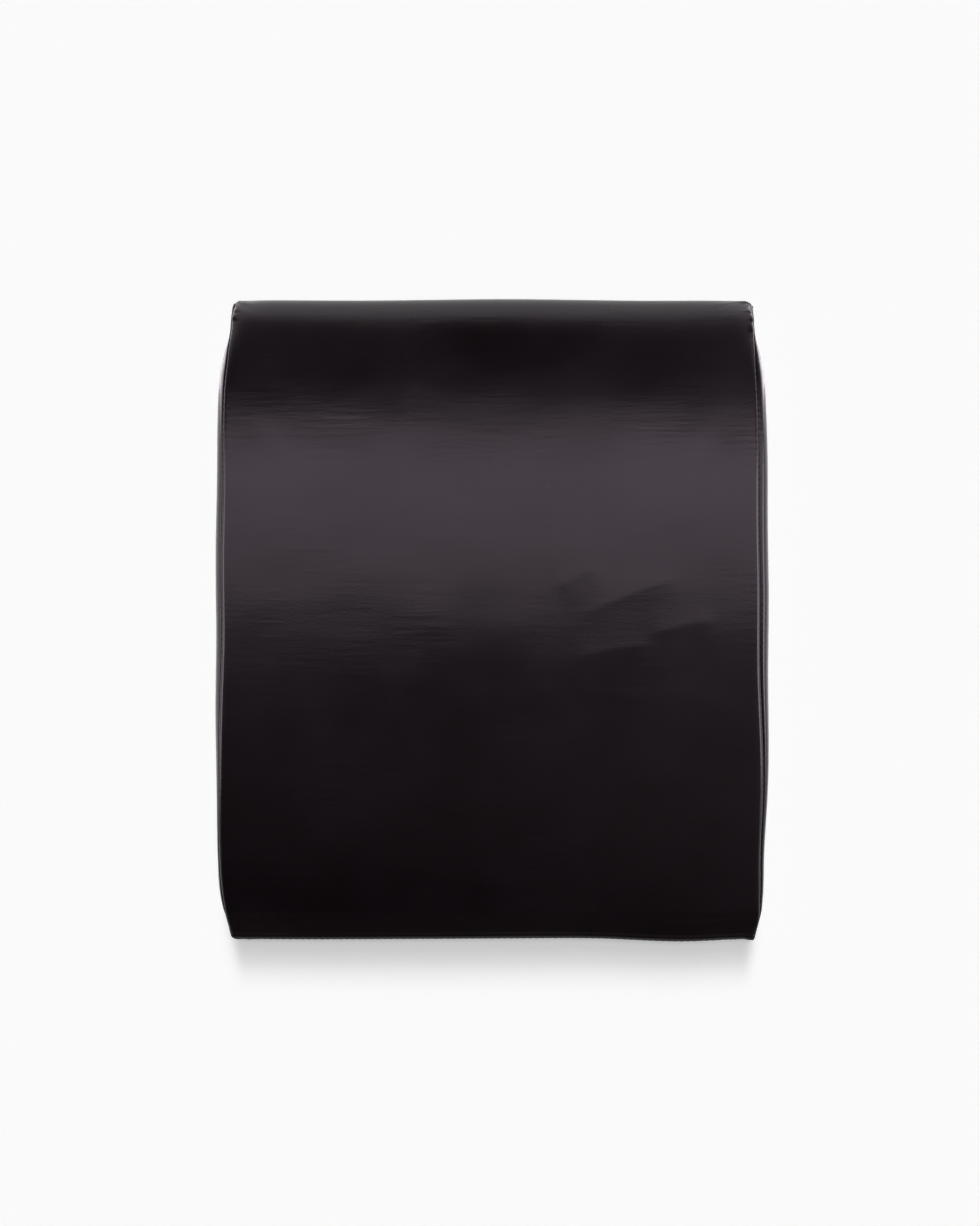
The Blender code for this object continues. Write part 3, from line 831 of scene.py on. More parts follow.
def lie(points):
    """Points of the cover, moved to where the leather really lies."""
    x, y, z = np.moveaxis(points, -1, 0)
    moved = np.array(points)
    on_gusset = ease((np.abs(x) - half_width_at(y) - gusset_groove) / lean_fade)
    moved[..., 0] -= seam_lean * ease((z - rear_seam_height) / lean_rise) * (1 - on_gusset)
    along_wave = np.sin(math.tau * y / side_wave_length + side_wave_turn * np.sign(x))
    edge_share = ease((np.abs(x) - side_wave_start) / (seam_half_width - side_wave_start))
    moved[..., 0] += side_wave * along_wave * edge_share * np.sign(x)

    nose_share = ease((y - nose_wave_start) / (half_length - nose_wave_start))
    cross_wave = np.sin(math.tau * x / nose_wave_length + nose_wave_turn)
    moved[..., 1] += nose_wave * nose_share * cross_wave
    rear_share = ease((-y - rear_sway_start) / (half_length - rear_sway_start))
    sway = rear_sway * np.sin(math.tau * (x - rear_sway_x) / rear_sway_length)
    sag = rear_sag * bump_at(points[..., :1], (rear_sag_x,), (rear_sag_reach,))
    moved[..., 1] += rear_share * (sway - sag)

    on_face = ease((z - face_low) / face_fade) * (1 - edge_share)
    moved[..., 2] += (crease_lift(points) + face_swell(points)) * on_face

    below = rear_seam_line(x, y) - z
    near = np.clip(1 - below / strip_roll, 0, 1)
    above_draw = np.exp(-((below / rear_seam_draw_reach) ** 2))
    below_draw = 1 - (1 - near**strip_roll_power) ** (1 / strip_roll_power)
    seam_draw = np.where(below > 0, below_draw, above_draw)
    seam_draw = seam_draw * ease((-y - rear_draw_start) / rear_seam_draw_reach)
    moved[..., 1] += rear_seam_draw * seam_draw

    outward = unit(points - np.array((0, 0, mat_height / 2)))
    for centre, reach, fold, height, turn in gathers:
        moved += outward * gather(points, centre, reach, fold, height, turn)[..., None]
    for centre, reach, pull in corner_pulls:
        moved += bump_at(points, centre, reach)[..., None] * np.array(pull)
    moved[..., 2] = np.maximum(moved[..., 2], 0)
    return moved


# Cloth: the foam swells the cover between its seams


def swell(grids):
    """How far each point of some coarse grids moves when the cover is blown up between its seams.

    The foam stands behind the leather, so nothing moves inwards.
    """
    points = np.concatenate([grid.reshape(-1, 3) for grid in grids.values()])
    finder = mathutils.kdtree.KDTree(len(points))
    for index, point in enumerate(points):
        finder.insert(point, index)
    finder.balance()
    first = [min(index for _, index, _ in finder.find_range(p, weld_reach)) for p in points]
    kept = sorted(set(first))
    place = {old: new for new, old in enumerate(kept)}
    shared = np.bincount([place[old] for old in first])
    faces = []
    start = 0
    for grid in grids.values():
        rows, columns = grid.shape[:2]
        for face in grid_faces(rows, columns, start):
            face = list(dict.fromkeys(place[first[corner]] for corner in face))
            if len(face) > 2:
                faces.append(face)
        start += rows * columns
    cover = add_mesh("cover_cloth", points[kept].tolist(), faces)
    rest_normals = np.array([vertex.normal for vertex in cover.data.vertices])

    floor_reach = base_edge_drop + weld_reach
    pinned = [i for i, old in enumerate(kept) if shared[i] > 1 or points[old][2] < floor_reach]
    seams = cover.vertex_groups.new(name="seams")
    seams.add(pinned, 1.0, "REPLACE")
    cloth = cover.modifiers.new("swell", "CLOTH")
    cloth.settings.vertex_group_mass = seams.name
    cloth.settings.use_pressure = True
    cloth.settings.uniform_pressure_force = swell_pressure
    cloth.settings.effector_weights.gravity = 0
    cloth.settings.shrink_min = -swell_slack
    cloth.point_cache.frame_end = swell_frames
    for step in range(1, swell_frames + 1):
        bpy.context.scene.frame_set(step)
    result = cover.evaluated_get(bpy.context.evaluated_depsgraph_get())
    reached = np.array([vertex.co for vertex in result.data.vertices])
    bpy.context.scene.frame_set(1)
    bpy.data.objects.remove(cover, do_unlink=True)

    move = reached - points[kept]
    move -= rest_normals * np.minimum(np.sum(move * rest_normals, axis=1, keepdims=True), 0)
    every = move[[place[old] for old in first]]
    moves = {}
    start = 0
    for name, grid in grids.items():
        count = grid.shape[0] * grid.shape[1]
        moves[name] = settled(every[start : start + count].reshape(grid.shape), swell_caps[name])
        start += count
    return moves


def settled(move, cap):
    """A panel's movement, evened out as thick leather does and held within a cap."""
    move = np.array(move)
    for _ in range(swell_settle):
        beside = move[:-2, 1:-1] + move[2:, 1:-1] + move[1:-1, :-2] + move[1:-1, 2:]
        move[1:-1, 1:-1] = (move[1:-1, 1:-1] + beside / 4) / 2
    distance = np.linalg.norm(move, axis=-1, keepdims=True)
    return move / np.sqrt(1 + (distance / cap) ** 2)


def reach_shares(grid, axis):
    """How far each row or column lies along the middle of a grid, as a share of the whole."""
    other = grid.shape[1 - axis] // 2
    reach = reach_along(grid[:, other] if axis == 0 else grid[other])
    return reach / reach[-1]


def smoothly(values, places, wanted):
    """Rows of values at wanted places, on smooth curves through the rows at given places."""
    slope = np.gradient(values, places, axis=0)
    here = np.clip(np.searchsorted(places, wanted, side="right") - 1, 0, len(places) - 2)
    span = (places[here + 1] - places[here])[:, None, None]
    t = np.clip((wanted - places[here])[:, None, None] / span, 0, 1)
    start = (1 + 2 * t) * (1 - t) ** 2 * values[here] + t * (1 - t) ** 2 * span * slope[here]
    end = t**2 * (3 - 2 * t) * values[here + 1] - t**2 * (1 - t) * span * slope[here + 1]
    return start + end


def swollen(fine, coarse, move, heights=None):
    """A fine grid, moved as the coarse cloth moved; heights are its rows' places up that grid."""
    heights = reach_shares(fine, 0) if heights is None else heights
    rows = smoothly(move, reach_shares(coarse, 0), heights)
    columns = smoothly(np.swapaxes(rows, 0, 1), reach_shares(coarse, 1), reach_shares(fine, 1))
    return fine + np.swapaxes(columns, 0, 1)


# Cover panels


def every_way(inward, count):
    """One inward vector, as many times as a seam has points."""
    return np.tile(unit(np.array(inward, float)), (count, 1))


def panel_seams(grid, **ends):
    """The inward vectors of a panel's borders: its ends as given, then its two sides."""
    seams = {border: every_way(inward, grid.shape[1]) for border, inward in ends.items()}
    seams["left"] = seam_inward(grid[:, 0, 1:], 1)
    seams["right"] = seam_inward(grid[:, -1, 1:], -1)
    return seams


def sewn(name, grid, seams, material):
    """A panel whose borders roll into their seams; seams has each border's inward vectors."""
    for border, inward in seams.items():
        roll_in(grid, border, inward, tuck_radius, pucker_height)
    for border, inward in seams.items():
        spare = from_border(grid, border).shape[1] - len(inward)
        inward = np.pad(inward, ((spare - spare // 2, spare // 2), (0, 0)), mode="edge")
        grid = with_allowance(grid, border, inward)
    return add_shell(name, grid, material)


def make_top_panel(cut, coarse, move, material):
    """The face of the mat, over the crest and round the nose."""
    grid = lie(swollen(top_panel_grid(cut), coarse, move))
    seams = panel_seams(grid, start=rear_seam_inward, end=front_base_inward)
    return sewn("top_panel_leather", grid, seams, material)


def make_base_panel(cut, material):
    """The non-slip panel that the mat lies on, up to its seams just above the floor."""
    turn = np.sin(np.linspace(math.pi / 2, 0, corner_steps))
    corner = base_corner_length * (1 - turn) / (rear_seam_out + nose_seam_out)
    middle = np.linspace(corner[-1], 1 - corner[-1], base_rows)
    shares = np.concatenate((corner[:-1], middle, 1 - corner[-2::-1]))
    grid = lie(base_panel_grid(cut, shares))
    seams = panel_seams(grid, start=rear_base_inward, end=front_base_inward)
    return sewn("base_panel_vinyl", grid, seams, material)


def make_gusset(name, cut, side, coarse, move, material):
    """A side panel, swollen between the seam that runs round it."""
    grid = lie(swollen(gusset_grid(cut, side), coarse, move))
    lines = {"start": grid[0], "end": grid[-1], "left": grid[:, 0], "right": grid[:, -1]}
    seams = {border: seam_inward(line[:, 1:], -side) for border, line in lines.items()}
    return sewn(name, grid, seams, material)


def strip_grid(cut, side):
    """One rear strip, from its seam to its rolled lip, and how open the mouth is at each place."""
    insets = station_insets(cut)
    _, angle, _ = stations(cut)
    along = np.abs(station_x(cut, half_width_at(-rear_seam_out)))
    open_share = np.where(angle == 0, ease((mouth_end - along) / mouth_taper), 0)
    seam_z = rear_seam_height - insets.top if side > 0 else base_seam_height
    lip_z = zip_height + side * mouth_half_height * open_share
    roll_z = lip_z + side * lip_roll
    drop = open_share * (rear_wall_out(lip_z, insets) - lip_out)
    flat_shares = (1 - np.cos(np.linspace(0, math.pi / 2, strip_steps)))[:, None]
    turn = np.linspace(0, math.pi / 2, lip_steps)[1:, None]
    flat_z = mix(seam_z, roll_z, flat_shares)
    lip_rows_z = roll_z - side * lip_roll * np.sin(turn)
    wall_out = rear_wall_out(mix(roll_z, lip_z, np.sin(turn)), insets)
    z = np.concatenate((flat_z, lip_rows_z))
    y = -np.concatenate((rear_wall_out(flat_z, insets), wall_out - drop + drop * np.cos(turn)))
    share = (z - base_seam_height) / (rear_seam_height - insets.top - base_seam_height)
    skin_z = mix(base_seam_height, rear_seam_height, share)
    x = station_x(cut, half_width_at(-rear_wall_out(skin_z, NO_INSET)))
    return np.stack((x, y, z), axis=-1), open_share


def lay_strip(cut, side, coarse, move):
    """One half of the tall end's wall as it lies, before its seams turn in, and its open shares."""
    grid, open_share = strip_grid(cut, side)
    middle_z = grid[:, grid.shape[1] // 2, 2]
    heights = (middle_z - base_seam_height) / (rear_seam_height - base_seam_height)
    level = swollen(grid, coarse, move, np.clip(heights, 0, 1)) - grid
    from_lip = (np.abs(grid[..., 2] - zip_height) - mouth_half_height) / lip_roll
    level *= mix(1, ease(from_lip), open_share)[..., None]
    return lie(grid + level), open_share


def make_strip(name, grid, open_share, inward, material):
    """A strip of leather, with the lip that rolls in beside the zip."""
    seams = panel_seams(grid, start=inward)
    closed = tuck_radius * (1 - open_share) + weld_reach
    roll_in(grid, "end", every_way(rear_base_inward, grid.shape[1]), closed, 0)
    return sewn(name, grid, seams, material)


def make_foam(material):
    """The foam block, from the construction's core, smoothed as cut and ground foam is."""
    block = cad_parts["foam_core"].copy()
    block.data = block.data.copy()
    block.parent = None
    bpy.context.collection.objects.link(block)
    welded = bmesh.new()
    welded.from_mesh(block.data)
    bmesh.ops.remove_doubles(welded, verts=welded.verts, dist=foam_weld)
    welded.to_mesh(block.data)
    welded.free()
    remesh = block.modifiers.new("even_cells", "REMESH")
    remesh.mode = "VOXEL"
    remesh.voxel_size = foam_voxel
    block.modifiers.new("ground_smooth", "SMOOTH").iterations = foam_smoothing
    block = finished(block, "foam_block")
    normals = np.array([vertex.normal for vertex in block.data.vertices])
    points = np.array([vertex.co for vertex in block.data.vertices])
    points[:, 0] *= foam_squeeze
    points = lie(points) - normals * foam_margin
    block.data.vertices.foreach_set("co", points.ravel())
    block.data.materials.clear()
    block.data.materials.append(material)
    block.data.shade_smooth()
    for key in list(block.keys()):
        del block[key]
    return block


# Sewing thread, laid by geometry nodes along its seam


def path_object(name, points, outward, closed):
    """A line of edges whose points know which way is out of the leather."""
    count = len(points)
    edges = [(here, (here + 1) % count) for here in range(count if closed else count - 1)]
    mesh = new_mesh(name, points.tolist(), edges, [])
    facing = mesh.attributes.new("outward", "FLOAT_VECTOR", "POINT")
    facing.data.foreach_set("vector", np.ascontiguousarray(outward, np.float32).ravel())
    return new_object(name, mesh)


def fill_inputs(node, links):
    """Give each input of a node its value, or the socket that it comes from."""
    for key, value in links.items():
        if isinstance(value, bpy.types.NodeSocket):
            node.id_data.links.new(value, node.inputs[key])
        else:
            node.inputs[key].default_value = value


def add_node(tree, kind, links=None, settings=None):
    """A node of that kind, with its inputs filled and its settings; its outputs come back."""
    node = tree.nodes.new(kind)
    for key, value in (settings or {}).items():
        setattr(node, key, value)
    fill_inputs(node, links or {})
    return node.outputs


def node_tree(name, sizes):
    """A geometry tree with a geometry in and out, and named inputs."""
    tree = bpy.data.node_groups.new(name, "GeometryNodeTree")
    tree.interface.new_socket("Geometry", in_out="INPUT", socket_type="NodeSocketGeometry")
    for label, kind in sizes.items():
        tree.interface.new_socket(label, in_out="INPUT", socket_type=kind)
    tree.interface.new_socket("Geometry", in_out="OUTPUT", socket_type="NodeSocketGeometry")
    return tree, add_node(tree, "NodeGroupInput")


def laid_out(thing, tree, values, name):
    """The plain mesh that a tree makes of an object, with the tree's named inputs set."""
    maker = thing.modifiers.new(tree.name, "NODES")
    maker.node_group = tree
    for item in tree.interface.items_tree:
        if item.in_out == "INPUT" and item.name in values:
            maker[item.identifier] = values[item.name]
    return finished(thing, name)


def stitch_tree(material):
    """Lock stitches at an even pitch along a path, each an arc of thread that dips at its ends."""
    sizes = {label: "NodeSocketFloat" for label in ("Pitch", "Length", "Radius", "Least", "Most")}
    sizes["Seed"] = "NodeSocketInt"
    tree, given = node_tree("lock_stitches", sizes)
    path = add_node(tree, "GeometryNodeMeshToCurve", {"Mesh": given["Geometry"]})
    even = {"Curve": path["Curve"], "Length": given["Pitch"]}
    even = add_node(tree, "GeometryNodeResampleCurve", even, {"mode": "LENGTH"})
    times = {"operation": "MULTIPLY"}
    arc = {"Resolution": stitch_steps}
    for corner, along, up in (
        ("Start", -0.5, -thread_sink),
        ("Middle", 0.0, thread_rise),
        ("End", 0.5, -thread_sink),
    ):
        along = add_node(tree, "ShaderNodeMath", {0: given["Length"], 1: along}, times)[0]
        up = add_node(tree, "ShaderNodeMath", {0: given["Radius"], 1: up}, times)[0]
        arc[corner] = add_node(tree, "ShaderNodeCombineXYZ", {"X": along, "Z": up})[0]
    arc = add_node(tree, "GeometryNodeCurveQuadraticBezier", arc)[0]
    section = {"Resolution": thread_sides, "Radius": given["Radius"]}
    section = add_node(tree, "GeometryNodeCurvePrimitiveCircle", section)[0]
    thread = {"Curve": arc, "Profile Curve": section, "Fill Caps": True}
    thread = add_node(tree, "GeometryNodeCurveToMesh", thread)["Mesh"]
    along = {"Vector": add_node(tree, "GeometryNodeInputTangent")[0]}
    turned = add_node(tree, "FunctionNodeAlignRotationToVector", along, {"axis": "X"})[0]
    vectors = {"data_type": "FLOAT_VECTOR"}
    facing = add_node(tree, "GeometryNodeInputNamedAttribute", {"Name": "outward"}, vectors)
    about = {"axis": "Z", "pivot_axis": "X"}
    upright = {"Rotation": turned, "Vector": facing["Attribute"]}
    upright = add_node(tree, "FunctionNodeAlignRotationToVector", upright, about)[0]
    size = {2: given["Least"], 3: given["Most"], "Seed": given["Seed"]}
    size = add_node(tree, "FunctionNodeRandomValue", size, {"data_type": "FLOAT"})[1]
    row = {"Points": even["Curve"], "Instance": thread, "Rotation": upright, "Scale": size}
    row = add_node(tree, "GeometryNodeInstanceOnPoints", row)[0]
    solid = add_node(tree, "GeometryNodeRealizeInstances", {"Geometry": row})[0]
    smooth = add_node(tree, "GeometryNodeSetShadeSmooth", {"Geometry": solid})[0]
    dressed = {"Geometry": smooth, "Material": material}
    dressed = add_node(tree, "GeometryNodeSetMaterial", dressed)[0]
    add_node(tree, "NodeGroupOutput", {"Geometry": dressed})
    return tree


def sew(name, tree, line, inward, depth, closed, seed):
    """One row of stitches along a line of the cover, a little way down its groove."""
    path = path_object(f"{name}_path", line + inward * depth, -inward, closed)
    sizes = {
        "Pitch": stitch_pitch,
        "Length": stitch_length,
        "Radius": thread_radius,
        "Least": 1 - stitch_unevenness,
        "Most": 1 + stitch_unevenness,
        "Seed": seed,
    }
    return laid_out(path, tree, sizes, name)


def gusset_seam(cut, side):
    """The closed line round one side panel, and its inward vectors."""
    grid = lie(gusset_grid(cut, side))
    pieces = (grid[:, 0], grid[-1, 1:], grid[-2::-1, -1], grid[0, -2:0:-1])
    line = np.concatenate(pieces)
    return line, seam_inward(line[:, 1:], -side)


def across_seam(row, inward):
    """The part of a cross seam that shows between the side seams, and its inward vectors."""
    line = lie(row)
    line = line[np.abs(line[:, 0]) < cross_seam_end]
    return line, every_way(inward, len(line))


# Zip


def add_plate(name, outline, near, far, bevel, material):
    """A flat plate from its outline as seen from behind; near and far are how far out it lies."""
    count = len(outline)
    verts = [(x, -out, z) for out in (near, far) for x, z in outline]
    faces = [list(range(count)), list(range(2 * count - 1, count - 1, -1))]
    for here in range(count):
        after = (here + 1) % count
        faces.append([after, here, here + count, after + count])
    plate = add_mesh(name, verts, faces, material)
    edge = plate.modifiers.new("rounded_edge", "BEVEL")
    edge.width = bevel
    edge.segments = bevel_steps
    edge.limit_method = "ANGLE"
    return finished(plate, name)


def add_rod(name, centre, radius, length, material):
    """A round rod across the zip."""
    ends = {"radius1": radius, "radius2": radius, "depth": length}
    shell = bmesh.new()
    bmesh.ops.create_cone(shell, cap_ends=True, segments=rod_sides, **ends)
    mesh = new_mesh(name, [], [], [], [material])
    shell.to_mesh(mesh)
    shell.free()
    mesh.transform(mathutils.Matrix.Translation(centre))
    return new_object(name, mesh)


def changed_by(thing, tool, operation):
    """The thing with a tool's shape added or cut out; the tool goes."""
    change = thing.modifiers.new(operation.lower(), "BOOLEAN")
    change.operation = operation
    change.solver = "EXACT"
    change.object = tool
    result = finished(thing, thing.name)
    bpy.data.objects.remove(tool, do_unlink=True)
    return result


def on_side(side, points):
    """An outline on one side of the zip; points are (x, distance from its middle)."""
    return [(x, zip_height + side * reach) for x, reach in points]


def mirrored(points):
    """An outline on both sides of the zip, from one half of it."""
    return on_side(-1, points) + on_side(1, reversed(points))


def rounded(start, end, half, corner, steps=corner_turns):
    """Half an outline of a plate with rounded corners, for mirrored()."""
    turns = [math.pi / 2 * step / steps for step in range(steps + 1)]
    top = half - corner
    first = [(start + corner - corner * math.cos(a), top + corner * math.sin(a)) for a in turns]
    last = [(end - corner + corner * math.sin(a), top + corner * math.cos(a)) for a in turns]
    return first + last


def make_tape(name, side, material):
    """Woven tape with fine ribs and a thick cord along its inner edge; past the stops both meet."""
    count = int(2 * tape_half_length / tape_cell)
    x = np.linspace(-tape_half_length, tape_half_length, count + 1)[:, None]
    flat = np.linspace(tape_far, tape_near + 2 * cord_radius, tape_rows)
    rib = rib_height * (1 - np.cos(math.tau * flat / rib_spacing)) / 2
    turn = np.linspace(0, math.pi, cord_steps)
    cord = tape_near + cord_radius + cord_radius * np.cos(turn)
    lift = tape_thickness / 2 + np.concatenate((rib, cord_radius * np.sin(turn)))
    join = tape_join * ease((np.abs(x) - stop_x - stop_length) / tape_join_run)
    z = zip_height + side * (np.concatenate((flat, cord)) - join)
    front, back = (stacked(x, -teeth_out + way * lift, z) for way in (-1, 1))
    loop = np.concatenate((front, back[:, -2::-1]), axis=1)
    rows, columns = loop.shape[:2]
    faces = grid_faces(rows, columns)
    for here in range(0, (rows - 1) * columns, columns):
        faces.append([here + columns - 1, here, here + columns, here + 2 * columns - 1])
    faces.append(list(range(columns)))
    faces.append(list(range(rows * columns - 1, (rows - 1) * columns - 1, -1)))
    return add_mesh(name, loop.reshape(-1, 3).tolist(), faces, material)


def tooth_outline():
    """A tooth seen from behind, centred: it grips the cord, narrows, and ends in a rounded head."""
    widths = (tooth_root_half, *[tooth_neck_half] * 2, *[tooth_head_half] * 2)
    half = [(x, mix(tooth_root, tooth_tip, turn)) for x, turn in zip(widths, tooth_turns)]
    half = [(tooth_root_half, tooth_root), *half, (tooth_neck_half, tooth_tip)]
    return [(-x, reach) for x, reach in half] + [(x, reach) for x, reach in reversed(half)]


def tooth_tree(material):
    """Teeth at an even pitch along a row."""
    sizes = {"Pitch": "NodeSocketFloat", "Count": "NodeSocketInt", "First": "NodeSocketVector"}
    tree, given = node_tree("moulded_teeth", sizes)
    step = add_node(tree, "ShaderNodeCombineXYZ", {"X": given["Pitch"]})[0]
    row = {"Count": given["Count"], "Start Location": given["First"], "Offset": step}
    row = add_node(tree, "GeometryNodeMeshLine", row, {"mode": "OFFSET"})[0]
    teeth = {"Points": row, "Instance": given["Geometry"]}
    teeth = add_node(tree, "GeometryNodeInstanceOnPoints", teeth)[0]
    solid = add_node(tree, "GeometryNodeRealizeInstances", {"Geometry": teeth})[0]
    dressed = {"Geometry": solid, "Material": material}
    dressed = add_node(tree, "GeometryNodeSetMaterial", dressed)[0]
    add_node(tree, "NodeGroupOutput", {"Geometry": dressed})
    return tree


def make_teeth(name, side, tree, material):
    """One row of teeth from the bottom stop to the top stop, half a pitch from the other row."""
    outline = on_side(side, tooth_outline())
    tooth = add_plate(f"{name}_tooth", outline, *teeth_depth, tooth_bevel, material)
    room = stop_x - stop_gap - tooth_head_half
    first = -room + (tooth_pitch / 2 if side > 0 else 0)
    count = int((room - first) / tooth_pitch) + 1
    values = {"Pitch": tooth_pitch, "Count": count, "First": (first, 0, 0)}
    return laid_out(tooth, tree, values, name)


def make_stops(material):
    """Crimped stops: one on each tape at the closed end, and one across both at the other."""
    end = stop_x + stop_length
    half = [(stop_x, tooth_root), (stop_x, stop_tip), (end, stop_tip), (end, tooth_root)]
    outlines = {
        "lower_top_stop": on_side(-1, half),
        "upper_top_stop": on_side(1, half),
        "bottom_stop": mirrored(rounded(-end, -stop_x, tooth_root, stop_corner)),
    }
    stops = []
    for name, outline in outlines.items():
        stops.append(add_plate(name, outline, *teeth_depth, metal_bevel, material))
    return stops


def sharpened(thing):
    """The thing, smooth but for its sharp edges."""
    thing.data.shade_smooth()
    thing.data.set_sharp_from_angle(angle=sharp_angle)
    return thing


def slider_outline():
    """The slider seen from behind, wider where it takes in the two rows of teeth."""
    front = slider_x + slider_length / 2
    rear = slider_x - slider_length / 2
    rear_run, rear_share = slider_rear_cut
    front_run, front_share = slider_front_cut
    half = (
        (rear, slider_rear_half * rear_share),
        (rear + rear_run, slider_rear_half),
        (slider_x, slider_front_half),
        ((slider_x + front) / 2, slider_front_half),
        (front - front_run, slider_front_half * front_share),
        (front, slider_front_half * slider_mouth_share),
    )
    return mirrored(half)


def slider_side_plates(side):
    """The two flanges and the lug on one side of the slider: outline, near, far and bevel."""
    start = slider_x - slider_length / 2 + flange_start
    end = slider_x + flange_end
    flange = (
        (start, slider_rear_half),
        (slider_x, slider_front_half - flange_inset),
        (end, slider_front_half - flange_inset),
        (end, flange_half),
        (slider_x, flange_half),
        (start, flange_half - flange_inset),
    )
    flange = on_side(side, flange)
    reach = (lug_spread / 2, lug_spread / 2 + lug_thickness)
    lug = [(slider_x - lug_length / 2, z) for z in reach]
    lug += [(slider_x + lug_length / 2, z) for z in reversed(reach)]
    root = outer_plate_out + slider_plate - web_half
    return (
        (flange, outer_plate_out - flange_reach, outer_plate_out + web_half, web_half),
        (flange, inner_plate_out - web_half, inner_plate_out + flange_reach, web_half),
        (on_side(side, lug), root, pin_out + pin_radius * 2, metal_bevel),
    )


def make_slider(material):
    """Two plates that a web joins between the rows of teeth, side flanges, lugs and a pin."""
    outline = slider_outline()
    quarter = slider_length / 4
    web = mirrored(rounded(slider_x - quarter, slider_x + quarter, web_half, web_half / 2, 1))
    plates = (
        (outline, outer_plate_out, outer_plate_out + slider_plate, metal_bevel),
        (outline, inner_plate_out - slider_plate, inner_plate_out, metal_bevel),
        (web, inner_plate_out - web_half, outer_plate_out + web_half, web_half / 4),
        *slider_side_plates(-1),
        *slider_side_plates(1),
    )
    slider, *pieces = (add_plate("slider_body", *plate, material) for plate in plates)
    length = lug_spread + lug_thickness
    pieces.append(add_rod("pin", pin_place, pin_radius, length, material))
    for piece in pieces:
        slider = changed_by(slider, piece, "UNION")
    return sharpened(slider)


def make_pull_tab(material):
    """The tab, back over the closed teeth, with its eye round the pin and a window at its tip."""
    neck_end = slider_x - tab_neck_length
    shoulder_end = neck_end - tab_shoulder
    run_share, width_share = tab_shoulder_turn
    half = rounded(slider_x - tab_length, shoulder_end, tab_half, tab_half * tab_corner_share)
    half = half[: corner_turns + 1] + [
        (shoulder_end, tab_half),
        (mix(shoulder_end, neck_end, run_share), mix(tab_half, tab_neck_half, width_share)),
        (neck_end, tab_neck_half),
        (slider_x, tab_neck_half),
    ]
    low = pin_out - tab_thickness / 2
    high = low + tab_thickness
    tab = add_plate("pull_tab_plate", mirrored(half), low, high, metal_bevel, material)
    eye = add_rod("eye", pin_place, tab_eye_radius, 2 * tab_neck_half, material)
    bore = add_rod("bore", pin_place, tab_bore_radius, 4 * tab_neck_half, material)
    start, end = (slider_x - reach for reach in reversed(tab_window))
    hole = mirrored(rounded(start, end, tab_window_half, tab_window_half * tab_corner_share))
    through = (low - tab_thickness, high + tab_thickness)
    window = add_plate("window", hole, *through, web_half, material)
    for tool, operation in ((eye, "UNION"), (bore, "DIFFERENCE"), (window, "DIFFERENCE")):
        tab = changed_by(tab, tool, operation)
    return sharpened(tab)


# Materials


def linear(hex_colour):
    """A linear colour from an sRGB hex value."""
    channels = [int(hex_colour[start : start + 2], 16) / 255 for start in (1, 3, 5)]
    lit = [c / 12.92 if c <= 0.04045 else ((c + 0.055) / 1.055) ** 2.4 for c in channels]
    return (*lit, 1.0)


def new_material(name):
    """A material, its nodes, and its place on the object in metres."""
    material = bpy.data.materials.new(name)
    material.use_nodes = True
    tree = material.node_tree
    return material, tree, add_node(tree, "ShaderNodeTexCoord")["Object"]


def dress(tree, share, dark, pale, relief, looks):
    """Give a material a tone between two colours, its relief and its other looks."""
    tone = {"Factor": share, "A": linear(dark), "B": linear(pale)}
    tone = add_node(tree, "ShaderNodeMix", tone, {"data_type": "RGBA"})["Result"]
    bump = add_node(tree, "ShaderNodeBump", relief)["Normal"]
    fill_inputs(tree.nodes["Principled BSDF"], {"Base Color": tone, "Normal": bump, **looks})


def faux_leather():
    """Calendered and embossed PVC on a knitted back: a satin skin, near black, with a fine pebble.

    The calender leaves broad, even gloss; the emboss shows as a faint break in it, and in scattered
    patches the skin wrinkles finely across the mat.
    """
    material, tree, place = new_material("calendered_pvc_leather")
    slow = {"Vector": place, "Scale": 1 / skin_tone_grain, "Detail": 3.0}
    slow = add_node(tree, "ShaderNodeTexNoise", slow)["Fac"]
    gloss = {"Value": slow, "From Min": 0.3, "From Max": 0.7, "To Min": 0.22, "To Max": 0.28}
    gloss = add_node(tree, "ShaderNodeMapRange", gloss, smooth_range)["Result"]
    pebble = {"Vector": place, "Scale": 1 / pebble_grain, "Smoothness": 0.6, "Randomness": 0.9}
    pebble = add_node(tree, "ShaderNodeTexVoronoi", pebble, {"feature": "SMOOTH_F1"})["Distance"]
    skin = {"Height": pebble, "Distance": pebble_height}
    skin = add_node(tree, "ShaderNodeBump", skin)["Normal"]
    across = {"Vector": place, "Scale": (wrinkle_stretch, 1.0, 1.0)}
    across = add_node(tree, "ShaderNodeMapping", across)["Vector"]
    wrinkle = {"Vector": across, "Scale": 1 / wrinkle_grain, "Detail": 3.0}
    wrinkle = add_node(tree, "ShaderNodeTexNoise", wrinkle)["Fac"]
    level = add_node(tree, "ShaderNodeMath", {0: wrinkle, 1: 0.5}, {"operation": "SUBTRACT"})[0]
    patch = {"Vector": place, "Scale": 1 / wrinkle_patch, "Detail": 1.0}
    patch = add_node(tree, "ShaderNodeTexNoise", patch)["Fac"]
    share = {"Value": patch, "From Min": 0.35, "From Max": 0.70, "To Min": 0.25, "To Max": 1.0}
    share = add_node(tree, "ShaderNodeMapRange", share, smooth_range)["Result"]
    drawn = add_node(tree, "ShaderNodeMath", {0: level, 1: share}, {"operation": "MULTIPLY"})[0]
    relief = {"Height": drawn, "Distance": wrinkle_height, "Normal": skin}
    looks = {"Roughness": gloss, "IOR": 1.5, "Specular Tint": linear("#fff4ff")}
    dress(tree, slow, "#0a0406", "#0f080c", relief, looks)
    return material


